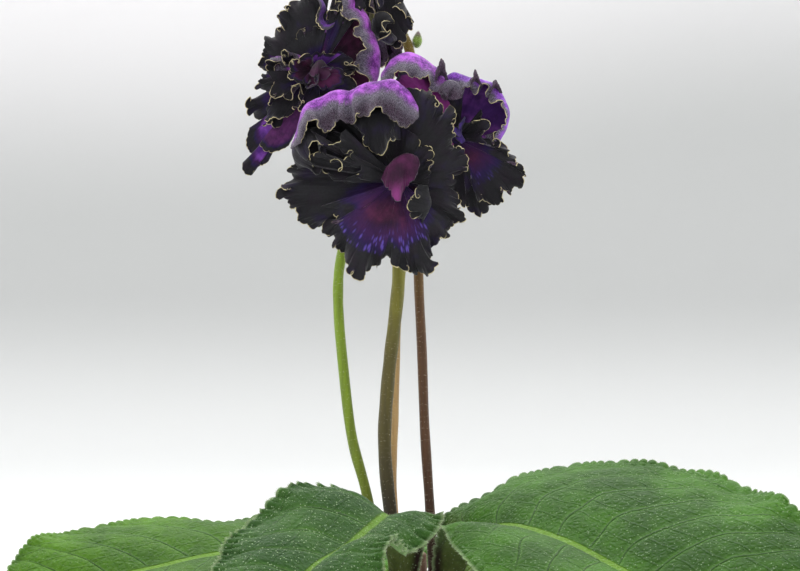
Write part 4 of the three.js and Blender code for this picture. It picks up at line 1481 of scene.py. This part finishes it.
# What a sheet has if it doesn't say anything else.
SHEET = dict(
    # Its shape: how far forward its ridge stands, or how far it bulges without one, in mm; another
    # place for its root; its roll and the waves in it, in degrees; shares of ruffles and loops; and
    # the degrees of its crisp margin.
    ridge_forward=0.0,
    bulge=2.0,
    root=None,
    roll=0.0,
    roll_wave=45.0,
    ruffled=1.0,
    crisp=CRISP_ROLL,
    loops=1.0,
    # The width in mm of its black margin inside, of its grey margin outside or of the lilac beyond
    # its ridge, and how wide the black runs along its sides.
    black=9.0,
    grey=9.0,
    lilac=0.0,
    sides=1.0,
    # Shares of other colours, of the throat's glow and of its painted glint spots, and of a margin without
    # gold.
    warm=0.0,
    rosy=0.0,
    # dark: near black painted over the outer side, partly the petal's own dark and partly painted shade
    # under the hoods and among the other petals.
    dark=0.0,
    cool=0.0,
    glow=0,
    dots=0.0,
    plain=0.0,
    # Whether its inner side is furred too, and how many real hairs it has.
    furred=0.0,
    hairs=0,
)


def sheet(foot, rim, forward, ridge=None, **looks):
    """One sheet of a petal, with the looks that differ from those of most sheets."""
    return SHEET | looks | dict(foot=foot, rim=rim, forward=forward, ridge=ridge)


def horn(x, y, forward, height=18):
    """A pointed grey twist on a hood's ridge, with its tip at a pixel."""
    foot = (x, y + height)
    rim = [(x + across, y + down * height) for across, down in HORN_OUTLINE]
    return sheet(
        (0, 180), rim, forward, root=(foot, forward - 1), grey=20, furred=1, ruffled=0.3, roll_wave=0,
        crisp=0, loops=0.4,
    )


FLOWER_A = {
    "hood": [
        sheet(
            (56, 132), forward=11, ridge_forward=4, black=40, grey=6, lilac=7.5, ruffled=0.6, roll_wave=25,
            loops=0.4, hairs=2200,
            ridge=[(417, 106), (411, 94), (402, 86), (393, 81), (380, 82), (366, 84), (353, 91), (341, 95)],
            rim=[
                (419, 117), (415, 122), (408, 125), (402, 127), (395, 125), (393, 118), (388, 114),
                (382, 112), (377, 116), (370, 119), (362, 116), (358, 111), (353, 115), (348, 120),
                (338, 119),
            ],
        ),
    ],
    "hood_left": [
        sheet(
            (128, 172), forward=10, ridge_forward=4, black=40, grey=6.5, lilac=6, ruffled=0.6, roll_wave=10,
            crisp=30, loops=0.55, hairs=2000,
            ridge=[
                (347, 94), (338, 93), (329, 95), (318, 101), (308, 105), (302, 112), (298, 124), (294, 141),
            ],
            rim=[
                (344, 117), (338, 120), (334, 127), (327, 130), (321, 128), (316, 123), (311, 126),
                (308, 133), (304, 137), (302, 143), (297, 146), (291, 149),
            ],
        ),
    ],
    "lip": [
        sheet(
            (196, 330), forward=2, bulge=4, black=6, roll_wave=50, dots=1, glow=1,
            rim=[
                (318, 207), (328, 212), (338, 219), (338, 226), (329, 228), (325, 237), (331, 242),
                (334, 250), (337, 256), (344, 262), (348, 273), (356, 276), (370, 272), (380, 271),
                (386, 264), (396, 266), (406, 270), (414, 277), (421, 280), (430, 272), (431, 262),
                (435, 251), (440, 243), (446, 233), (450, 222),
            ],
        ),
    ],
    "centre": [
        sheet(
            (40, 140), forward=9, ridge_forward=7, grey=0.2, rosy=1, plain=1, ruffled=0.5, roll_wave=20,
            crisp=20, loops=0.2,
            ridge=[(418, 158), (408, 153), (396, 158), (388, 166)],
            rim=[
                (420, 165), (416, 177), (409, 187), (402, 197), (396, 205), (391, 198), (386, 188),
                (381, 179),
            ],
        ),
    ],
    "under_hood": [
        sheet(
            (60, 125), forward=9, ridge_forward=5, black=30, grey=25, dark=1, ruffled=0.7, roll_wave=30,
            loops=0.6,
            ridge=[(400, 116), (382, 110), (362, 114), (346, 120)],
            rim=[
                (401, 140), (395, 142), (396, 148), (390, 151), (381, 153), (371, 149), (367, 142),
                (357, 128),
            ],
        ),
    ],
    "lower_left": [
        sheet(
            (172, 230), forward=0.5, black=9, roll_wave=40, glow=1,
            rim=[
                (306, 164), (293, 169), (286, 172), (283, 179), (284, 188), (279, 193), (283, 203),
                (292, 209), (291, 216), (300, 222), (309, 228), (318, 231), (327, 234), (334, 228),
                (342, 217),
            ],
        ),
    ],
    "left_fold": [
        sheet(
            (146, 180), forward=10, ridge_forward=5, black=40, grey=22, dark=0.95, ruffled=0.8, roll_wave=30,
            ridge=[(327, 134), (309, 134), (298, 143), (294, 155), (300, 168)],
            rim=[
                (327, 155), (322, 155), (317, 151), (310, 154), (307, 160), (312, 167), (318, 172),
                (324, 167),
            ],
        ),
    ],
    "left_inner": [
        sheet(
            (140, 200), forward=9, bulge=0, black=40, grey=25, dark=0.9, roll_wave=30,
            rim=[
                (338, 143), (341, 150), (351, 155), (349, 160), (342, 159), (333, 158), (326, 163),
                (325, 172), (334, 181),
            ],
        ),
        sheet(
            (150, 176), forward=11, bulge=1, black=40, grey=25, dark=0.95, roll_wave=30, loops=0.7,
            rim=[(331, 157), (322, 152), (313, 153), (308, 157), (310, 163), (316, 167)],
        ),
        sheet(
            (125, 165), forward=8, bulge=1, black=40, grey=25, dark=0.9, roll_wave=30, loops=0.7,
            rim=[(346, 129), (337, 136), (329, 143), (320, 147), (313, 143), (315, 136), (309, 129)],
        ),
        sheet(
            (170, 200), forward=7, bulge=1, black=40, grey=25, dark=0.95, roll_wave=30, loops=0.7,
            rim=[(362, 164), (358, 170), (355, 179), (347, 178), (344, 183)],
        ),
    ],
    "curl": [
        sheet(
            (292, 352), forward=9, ridge_forward=6, black=3, dark=1, ruffled=0.6, roll_wave=30,
            ridge=[(422, 222), (429, 205), (428, 188)],
            rim=[(422, 213), (417, 219), (410, 213), (408, 204), (413, 193), (419, 186), (427, 185)],
        ),
    ],
    "upper_right": [
        sheet(
            (350, 436), forward=3, black=24, grey=12, roll_wave=45,
            rim=[
                (449, 190), (456, 180), (463, 173), (468, 167), (469, 158), (463, 149), (459, 140),
                (454, 131), (455, 121), (456, 112), (451, 106), (446, 108), (441, 103), (436, 98),
                (433, 93), (425, 91), (416, 88), (404, 88),
            ],
        ),
        sheet(
            (0, 70), forward=5, bulge=1, black=24, grey=12, roll_wave=30,
            rim=[
                (428, 184), (431, 173), (434, 164), (430, 157), (431, 149), (425, 144), (419, 137),
                (408, 130),
            ],
        ),
    ],
    "lower_right": [
        sheet(
            (316, 362), forward=0, black=8, roll_wave=50, glow=1,
            rim=[
                (430, 249), (438, 243), (446, 237), (451, 230), (458, 221), (466, 222), (461, 211),
                (463, 200), (458, 190), (451, 182),
            ],
        ),
    ],
}

FLOWER_B = {
    "hood": [
        sheet(
            (88, 158), forward=9, ridge_forward=2, black=1, warm=1, grey=5, lilac=8, ruffled=0.7,
            roll_wave=20, loops=0.5, hairs=1100,
            ridge=[
                (450, 87), (446, 78), (440, 70), (432, 65), (425, 61), (416, 57), (405, 55), (392, 60),
                (383, 72),
            ],
            rim=[
                (446, 96), (440, 89), (434, 84), (428, 79), (420, 80), (413, 80), (406, 78), (400, 79),
                (395, 81), (388, 80), (381, 82),
            ],
        ),
        horn(441, 58, forward=5, height=22),
    ],
    "upper_right": [
        sheet(
            (6, 92), forward=6, ridge_forward=2, black=1.2, grey=5, lilac=5, cool=0.5, ruffled=0.7,
            roll_wave=25, loops=0.5, hairs=1300,
            ridge=[
                (499, 142), (506, 128), (509, 113), (504, 99), (497, 89), (488, 84), (479, 80), (470, 78),
                (462, 75), (454, 73), (445, 78),
            ],
            rim=[
                (494, 141), (500, 126), (503, 114), (498, 105), (491, 104), (490, 94), (483, 88),
                (477, 94), (471, 87), (463, 94), (455, 99), (446, 98),
            ],
        ),
        horn(475, 69, forward=4),
        horn(495, 79, forward=4, height=14),
    ],
    "lower_right": [
        sheet(
            (298, 374), forward=3, black=8.5, roll_wave=45, dots=0.6, glow=1,
            rim=[
                (466, 196), (470, 189), (475, 190), (478, 198), (487, 204), (497, 205), (507, 198),
                (518, 191), (528, 179), (523, 171), (516, 166), (519, 158), (513, 151), (503, 149),
                (497, 141), (488, 139),
            ],
        ),
    ],
    "right": [
        sheet(
            (2, 60), forward=7, bulge=0, black=9, dark=0.6, roll_wave=50,
            rim=[(487, 144), (484, 135), (486, 127), (479, 122), (472, 120), (464, 123)],
        ),
        sheet(
            (350, 50), forward=4, bulge=0, black=9, grey=4, roll=30, roll_wave=50,
            rim=[
                (498, 144), (499, 131), (493, 132), (487, 133), (486, 126), (492, 122), (485, 116),
                (481, 109),
            ],
        ),
    ],
    "upper_curl": [
        sheet(
            (52, 132), forward=9, ridge_forward=7, black=12, grey=9, ruffled=0.8, roll_wave=30,
            crisp=130, hairs=500,
            ridge=[(463, 92), (456, 85), (447, 83), (440, 88)],
            rim=[(462, 98), (456, 99), (450, 97), (445, 99), (440, 97), (438, 92)],
        ),
    ],
    "right_curl": [
        sheet(
            (10, 62), forward=8, ridge_forward=6, black=6, grey=0.3, cool=1, dark=0.65, plain=1,
            ruffled=0.4, roll_wave=20, crisp=20,
            ridge=[(464, 142), (459, 131), (465, 117)],
            rim=[(461, 144), (457, 138), (455, 131), (458, 124), (464, 117)],
        ),
    ],
    "left": [
        sheet(
            (95, 250), forward=0, black=0.8, warm=1, plain=0.3, loops=0.5,
            rim=[(446, 80), (432, 74), (416, 72), (400, 74), (390, 84), (400, 104), (424, 144), (444, 168)],
        ),
    ],
    "underside": [
        sheet(
            (226, 302), forward=-2, bulge=0, black=14, grey=9, roll_wave=40,
            rim=[
                (438, 188), (448, 198), (456, 203), (461, 207), (469, 213), (479, 216), (488, 213),
                (492, 205), (488, 197),
            ],
        ),
    ],
}

FLOWER_C = {
    "right": [
        sheet(
            (318, 422), forward=9, ridge_forward=1, black=3, grey=5.5, lilac=8.5, rosy=0.25, ruffled=0.7,
            roll_wave=20, loops=0.6, hairs=1800,
            ridge=[(371, 94), (378, 74), (379, 56), (377, 43), (372, 31), (367, 17), (360, 6), (352, -4)],
            rim=[
                (357, 94), (361, 75), (359, 60), (360, 50), (358, 41), (352, 31), (355, 24), (347, 22),
                (345, 10), (343, 2), (339, -6),
            ],
        ),
    ],
    "upper_left": [
        sheet(
            (70, 172), forward=0, black=12,
            rim=[
                (330, -8), (316, -6), (303, -1), (293, 3), (287, 7), (284, 13), (280, 20), (275, 26),
                (271, 33), (265, 36), (265, 44), (268, 54),
            ],
        ),
    ],
    "upper_right": [
        sheet(
            (42, 150), forward=3, black=8, warm=0.3, ruffled=0.8, roll_wave=25,
            rim=[
                (366, 4), (358, -5), (351, 5), (345, -5), (339, 7), (334, -3), (332, 11), (329, 21),
                (321, 24), (312, 24), (305, 27), (298, 32), (292, 40), (285, 48),
            ],
        ),
    ],
    "ribbon": [
        sheet(
            (80, 104), forward=7, ridge_forward=1.5, black=5, grey=2, cool=0.6, dark=0.45, loops=0,
            ruffled=0.3, roll_wave=15, crisp=15,
            ridge=[(336, 22), (327, 24), (323, 17), (326, 9), (321, -2)],
            rim=[(333, 27), (320, 31), (314, 25), (319, 14), (322, 6), (316, -2)],
        ),
    ],
    "left": [
        sheet(
            (138, 186), forward=6, bulge=0, black=14, grey=2.5, dark=0.2, roll=50, roll_wave=50,
            rim=[
                (294, 58), (291, 50), (284, 48), (275, 52), (267, 56), (264, 63), (268, 70), (277, 71),
                (284, 67), (292, 65),
            ],
        ),
        sheet(
            (160, 196), forward=-2, black=2, cool=0.4,
            rim=[(274, 48), (264, 51), (260, 60), (258, 70), (262, 79), (270, 82)],
        ),
    ],
    "lower_left": [
        sheet(
            (184, 236), forward=0, black=6, grey=8, dark=0.2, roll_wave=55,
            rim=[
                (266, 78), (258, 83), (252, 88), (256, 94), (249, 99), (247, 107), (247, 115),
                (253, 122), (263, 125), (276, 124), (290, 118),
            ],
        ),
        sheet(
            (190, 246), forward=4, black=9, grey=8, dark=0.2, roll=20, roll_wave=50,
            rim=[
                (264, 88), (268, 97), (266, 105), (262, 113), (264, 119), (272, 124), (284, 119),
                (296, 108), (300, 100),
            ],
        ),
    ],
    "tail": [
        sheet(
            (222, 246), forward=-1, black=3.6, cool=0.8, dark=0.7, ruffled=0.15, roll_wave=15, crisp=0,
            sides=4, loops=0.2,
            rim=[
                (259, 124), (250, 133), (246, 143), (247, 153), (250, 160), (245, 168), (245, 176),
                (252, 176), (258, 168), (266, 161), (268, 146), (270, 130),
            ],
        ),
        sheet(
            (232, 262), forward=0.5, black=1.6, cool=0.15, dark=0.7, ruffled=0.15, roll_wave=15, crisp=20,
            sides=4, loops=0.2,
            rim=[
                (268, 128), (267, 140), (260, 145), (265, 151), (272, 153), (281, 150),
                (291, 142), (298, 129), (303, 112),
            ],
        ),
    ],
    "comb": [
        sheet(
            (20, 160), forward=5, bulge=1, black=0.6, cool=1, ruffled=0.8, roll_wave=20, crisp=20,
            rim=[(344, 53), (338, 51), (332, 54), (327, 51), (321, 55), (315, 52), (311, 58)],
        ),
        sheet(
            (40, 140), forward=12, ridge_forward=10, black=1, grey=0.2, rosy=1, dark=0.45, plain=1,
            ruffled=0.8, roll_wave=30, crisp=20, loops=0.4,
            ridge=[(328, 68), (320, 65), (312, 68)],
            rim=[(331, 74), (324, 80), (318, 76), (313, 80), (309, 73)],
        ),
    ],
    "lower": [
        sheet(
            (182, 268), forward=7, bulge=1, black=7, grey=5, dark=0.2, roll_wave=50,
            rim=[
                (267, 71), (271, 79), (270, 88), (271, 97), (280, 100), (288, 96), (291, 89), (298, 89),
                (303, 96), (298, 103), (299, 110), (309, 107), (320, 101),
            ],
        ),
        sheet(
            (256, 396), forward=7, bulge=1, black=5, dark=0.5, roll_wave=50,
            rim=[
                (308, 103), (324, 105), (338, 102), (350, 97), (358, 91), (353, 81), (347, 74), (352, 71),
                (360, 69), (356, 62), (350, 57), (343, 53),
            ],
        ),
        sheet(
            (130, 200), forward=9, bulge=2, black=1, roll_wave=30,
            rim=[(311, 66), (311, 57), (303, 57), (295, 57), (291, 62), (290, 70), (294, 80), (303, 84)],
        ),
        sheet(
            (190, 400), forward=11, bulge=5, black=0.7, warm=0.1, plain=0.4, roll_wave=30,
            rim=[
                (302, 80), (308, 87), (318, 86), (328, 91), (337, 86), (344, 80), (342, 72), (334, 67),
                (326, 66),
            ],
        ),
    ],
}

FLOWER_D = {
    "front_right": [
        sheet(
            (256, 332), forward=15, ridge_forward=8, black=20, dark=1, roll_wave=30,
            ridge=[(377, 36), (383, 40), (391, 42), (397, 40)],
            rim=[(371, 29), (373, 20), (378, 18), (381, 24), (385, 18), (388, 24), (389, 32), (396, 36)],
        ),
    ],
    "front_left": [
        sheet(
            (196, 268), forward=12, grey=14, black=12, roll_wave=60,
            rim=[
                (340, -10), (348, 3), (354, 2), (359, 12), (365, 8), (370, 13), (373, 7), (380, 11),
                (384, 2),
            ],
        ),
    ],
    "right": [
        sheet(
            (300, 388), forward=6, grey=20, black=40, dark=1,
            rim=[
                (382, 36), (388, 45), (395, 49), (401, 46), (405, 38), (411, 31), (410, 20), (407, 10),
                (402, 2), (408, -8),
            ],
        ),
    ],
    "left": [
        sheet(
            (148, 204), forward=-1, grey=20, black=40, dark=0.5,
            rim=[(331, -12), (334, 2), (340, 12), (350, 20), (360, 26)],
        ),
    ],
    "back_right": [
        sheet(
            (30, 92), forward=-10, grey=14, black=40, dark=0.1, roll_wave=55,
            rim=[(404, 44), (401, 56), (395, 66), (388, 67), (386, 58), (384, 48)],
        ),
    ],
    "back_left": [
        sheet(
            (88, 150), forward=-8, grey=14, black=40, dark=0.1, roll_wave=55,
            rim=[(389, 48), (386, 60), (381, 68), (377, 58), (376, 48), (366, 40), (356, 30)],
        ),
    ],
}

FLOWERS = {
    "a": dict(
        throat=(-5, -26, 231),
        back=(-3.5, -1, 233.2),
        glow=(-4, -10.5, 13, 10),
        pedicel=[(-4.8, 1.2, 208), (-4.6, 6, 219), (-3.8, 7.5, 230), (-3.3, 3.5, 233.6)],
        petals=FLOWER_A,
    ),
    "b": dict(
        throat=(12.5, -5, 244.7),
        back=(9, 19, 247),
        glow=(5, -8, 9.5, 9),
        pedicel=[(-4.6, 14.2, 219), (-1, 19, 234), (5, 25, 245), (8.4, 23.4, 247.4)],
        petals=FLOWER_B,
    ),
    "c": dict(
        throat=(-29.7, -2, 266.5),
        back=(-26, 22, 270),
        pedicel=[(-22.5, 11, 243), (-23, 19, 257), (-24.6, 27.5, 267.5), (-25.4, 26.4, 270.6)],
        petals=FLOWER_C,
    ),
    "d": dict(
        throat=(-14.5, 9, 300),
        back=(-12, 14, 285),
        pedicel=[(-2.7, 12, 278), (-6, 14, 281.8), (-9.6, 15.5, 281.4), (-11.6, 15, 282.4)],
        petals=FLOWER_D,
    ),
}


def build_tube(letter, flower, material):
    """The corolla tube: a narrow trumpet with fine lengthwise ribs and a hollow throat."""
    face, up, right = flower_axes(flower)
    start = np.asarray(flower["back"], dtype=float)
    length = np.linalg.norm(np.subtract(flower["throat"], flower["back"]))
    turn = spokes(TUBE_SIDES, right, up)
    ribs = 1 + 0.025 * np.cos(10 * turn_angles(TUBE_SIDES))
    shares, radii = zip(*TUBE_OUTLINE)
    rings, heights, outside = [], [], []
    for share in np.linspace(0, 1, TUBE_RINGS):
        radius = TUBE_NECK_RADIUS * np.interp(share, shares, radii) * ribs
        rings.append(start + face * length * share + turn * radius[:, None])
        heights.append(share)
        outside.append(1.0)
    for share in np.linspace(1, 1 - THROAT_DEPTH / length, 10):
        radius = (TUBE_MOUTH_RADIUS - TUBE_WALL) * (1 - 0.55 * (1 - share) * length / THROAT_DEPTH)
        rings.append(start + face * length * share + turn * radius)
        heights.append(share)
        outside.append(0.0)
    flip = np.cross(right, up) @ face < 0
    rings = [ring[::-1] for ring in rings] if flip else rings
    points, faces = ring_solid(rings, start, start + face * (length - THROAT_DEPTH))
    layers = {
        "height": np.concatenate([np.repeat(heights, TUBE_SIDES), [0, 1 - THROAT_DEPTH / length]]),
        "outer": np.concatenate([np.repeat(outside, TUBE_SIDES), [1, 0]]),
    }
    piece = mesh_object(f"corolla_tube_{letter}_skin", points, faces, material, layers)
    stand_for(piece, f"corolla_tube_{letter}")

    rng = rng_of(f"tube_{letter}")
    roots = points[rng.integers(TUBE_SIDES * 5, TUBE_SIDES * TUBE_RINGS, TUBE_HAIRS)]
    lengths = rng.uniform(0.3, 0.7, TUBE_HAIRS)
    hairs_around(f"corolla_tube_{letter}_hairs", roots, start, face, lengths, rng)


def build_calyx(letter, flower, material):
    """A cup that ends in five pointed sepals, holding the tube's neck."""
    face, up, right = flower_axes(flower)
    foot = np.asarray(flower["back"]) - face * CALYX_BEHIND
    turn = spokes(CALYX_SIDES, right, up)
    if np.cross(right, up) @ face < 0:
        turn = turn[::-1]
    pointed = np.abs(np.cos(SEPALS / 2 * turn_angles(CALYX_SIDES))) ** 1.3
    length = CALYX_LENGTH * (0.42 + 0.58 * pointed)
    shares, radii = zip(*CALYX_OUTLINE)
    outer = np.linspace(0, 1, 14)
    inner = np.linspace(1, 0.45, 8)
    walls = [(share, 0) for share in outer] + [(share, CALYX_WALL) for share in inner]
    rings = []
    for share, wall in walls:
        radius = CALYX_RADIUS * np.interp(share, shares, radii) - wall
        rings.append(foot + face * (length * share)[:, None] + turn * radius)
    points, faces = ring_solid(rings, foot, foot + face * CALYX_LENGTH * 0.2)
    heights = np.concatenate([np.repeat([*outer, *inner], CALYX_SIDES), [0, 0.2]])
    piece = mesh_object(f"calyx_{letter}_cup", points, faces, material, {"height": heights})
    stand_for(piece, f"calyx_{letter}")

    rng = rng_of(f"calyx_{letter}")
    roots = points[rng.integers(0, CALYX_SIDES * len(outer), CALYX_HAIRS)]
    lengths = rng.uniform(0.4, 0.9, CALYX_HAIRS)
    hairs_around(f"calyx_{letter}_hairs", roots, foot, face, lengths, rng)


def build_flowers():
    """The flowers, each with its tube, calyx, pedicel and petals."""
    velvet = petal_material()
    tube = tube_material()
    calyx = stalk_material("calyx_skin", (120, 128, 62), (112, 120, 60), (104, 92, 74))
    stem = stalk_material("pedicel_skin", (104, 110, 50), (120, 124, 58), (112, 104, 56))
    for letter, flower in FLOWERS.items():
        build_tube(letter, flower, tube)
        build_calyx(letter, flower, calyx)
        stem_piece(
            f"pedicel_{letter}_stem", f"pedicel_{letter}", flower["pedicel"], PEDICEL_RADIUS, 1.0, stem,
            PEDICEL_HAIRS, LEAF_HAIR,
        )
        for name, sheets in flower["petals"].items():
            build_petal(letter, flower, name, sheets, velvet)


# The room: a pale floor that rises into a pale wall all around, soft lights and the camera.

LIGHT_AIM = (0, 0, 200)
AIR_BRIGHTNESS = 1.15
ROOM_RADIUS = 4000
ROOM_COVE = 1800
ROOM_HEIGHT = 4200
ROOM_SIDES = 128
ROOM_RINGS = (40, 120, 300, 700, 1400, ROOM_RADIUS - ROOM_COVE)
COVE_STEPS = 24


def build_room():
    """A floor and a wall in one smooth bowl."""
    circle = spokes(ROOM_SIDES)
    rings = [circle * radius for radius in ROOM_RINGS]
    for turn in np.linspace(0, math.pi / 2, COVE_STEPS)[1:]:
        radius = ROOM_RADIUS - ROOM_COVE + ROOM_COVE * math.sin(turn)
        rings.append(circle * radius + (0, 0, ROOM_COVE * (1 - math.cos(turn))))
    rings.append(circle * ROOM_RADIUS + (0, 0, ROOM_HEIGHT))
    points = np.vstack([*rings, [(0, 0, 0)]])
    faces = grid_faces(len(rings), ROOM_SIDES, around=True, flip=True)
    centre = len(points) - 1
    faces += [(centre, k, (k + 1) % ROOM_SIDES) for k in range(ROOM_SIDES)]
    room = mesh_object("studio_room", points, faces, room_material())


def room_material():
    """Matt white, with a light box's light and shade painted into it: a little greyer at the wall's foot,
    and brighter again higher up, sooner on the left.
    """
    shader = Shader("studio_room")
    height = shader.coordinate(2)
    sideways = shader.between(shader.coordinate(0), -0.4, 0.7)
    white = shader.mix(shader.noise(1.2, 2), (247, 249, 248), (250, 252, 251))
    lifted = shader.math("MULTIPLY_ADD", sideways, -0.15, height)
    # Painted shade: grey from a little above the floor upwards.
    colour = shader.blend(height, -0.06, 0.2, white, (201, 203, 202))
    # Painted light: white again higher up, starting lower on the left.
    colour = shader.blend(lifted, 0.28, 0.75, colour, (250, 249, 250))
    shader.set(Base_Color=colour, Roughness=0.95, Specular_IOR_Level=0.1)
    return shader.material


def area_light(name, place, size, power):
    """A soft box of a width and height in millimetres, turned towards the plant."""
    lamp = bpy.data.lights.new(name, "AREA")
    lamp.shape = "RECTANGLE"
    lamp.size = size[0] * MM
    lamp.size_y = size[1] * MM
    lamp.energy = power
    holder = bpy.data.objects.new(name, lamp)
    holder.location = np.asarray(place, dtype=float) * MM
    holder.rotation_mode = "QUATERNION"
    holder.rotation_quaternion = Vector(unit(np.subtract(LIGHT_AIM, place))).to_track_quat("-Z", "Y")
    holder.visible_camera = False
    bpy.context.scene.collection.objects.link(holder)


def build_lights():
    """Soft boxes above, in front and on both sides, in evenly white air."""
    area_light("top_box", (0, 500, 1100), (1400, 1100), 20)
    area_light("front_fill", (-500, -1500, 900), (1400, 1200), 8)
    area_light("side_left", (-1300, 200, 500), (900, 1200), 5)
    area_light("side_right", (1300, 200, 500), (900, 1200), 5)
    world = bpy.data.worlds.new("studio_air")
    world.use_nodes = True
    background = world.node_tree.nodes["Background"]
    background.inputs["Color"].default_value = (1, 1, 1, 1)
    background.inputs["Strength"].default_value = AIR_BRIGHTNESS
    bpy.context.scene.world = world


def build_camera():
    """The camera that the photograph was taken with, and plain colours without a film look."""
    lens = bpy.data.cameras.new("camera")
    lens.sensor_width = SENSOR_WIDTH
    lens.lens = PIXELS_PER_MM * abs(CAMERA_PLACE[1]) / IMAGE_WIDTH * SENSOR_WIDTH
    lens.clip_start = 0.01
    lens.clip_end = 100
    camera = bpy.data.objects.new("camera", lens)
    camera.location = np.asarray(CAMERA_PLACE) * MM
    camera.rotation_euler = (math.pi / 2, 0, 0)
    bpy.context.scene.collection.objects.link(camera)
    bpy.context.scene.camera = camera
    bpy.context.scene.view_settings.view_transform = "Standard"


LEAF_HAIR = hair_material("leaf_hairs", (172, 188, 148))
PETAL_HAIR = hair_material("petal_hairs", (122, 112, 132))

build_camera()
build_room()
build_lights()
build_pot()
build_mix()
build_crown()
build_stalks()
build_bud()
for leaf_name, leaf_shape in LEAVES.items():
    build_leaf(leaf_name, leaf_shape)
build_flowers()
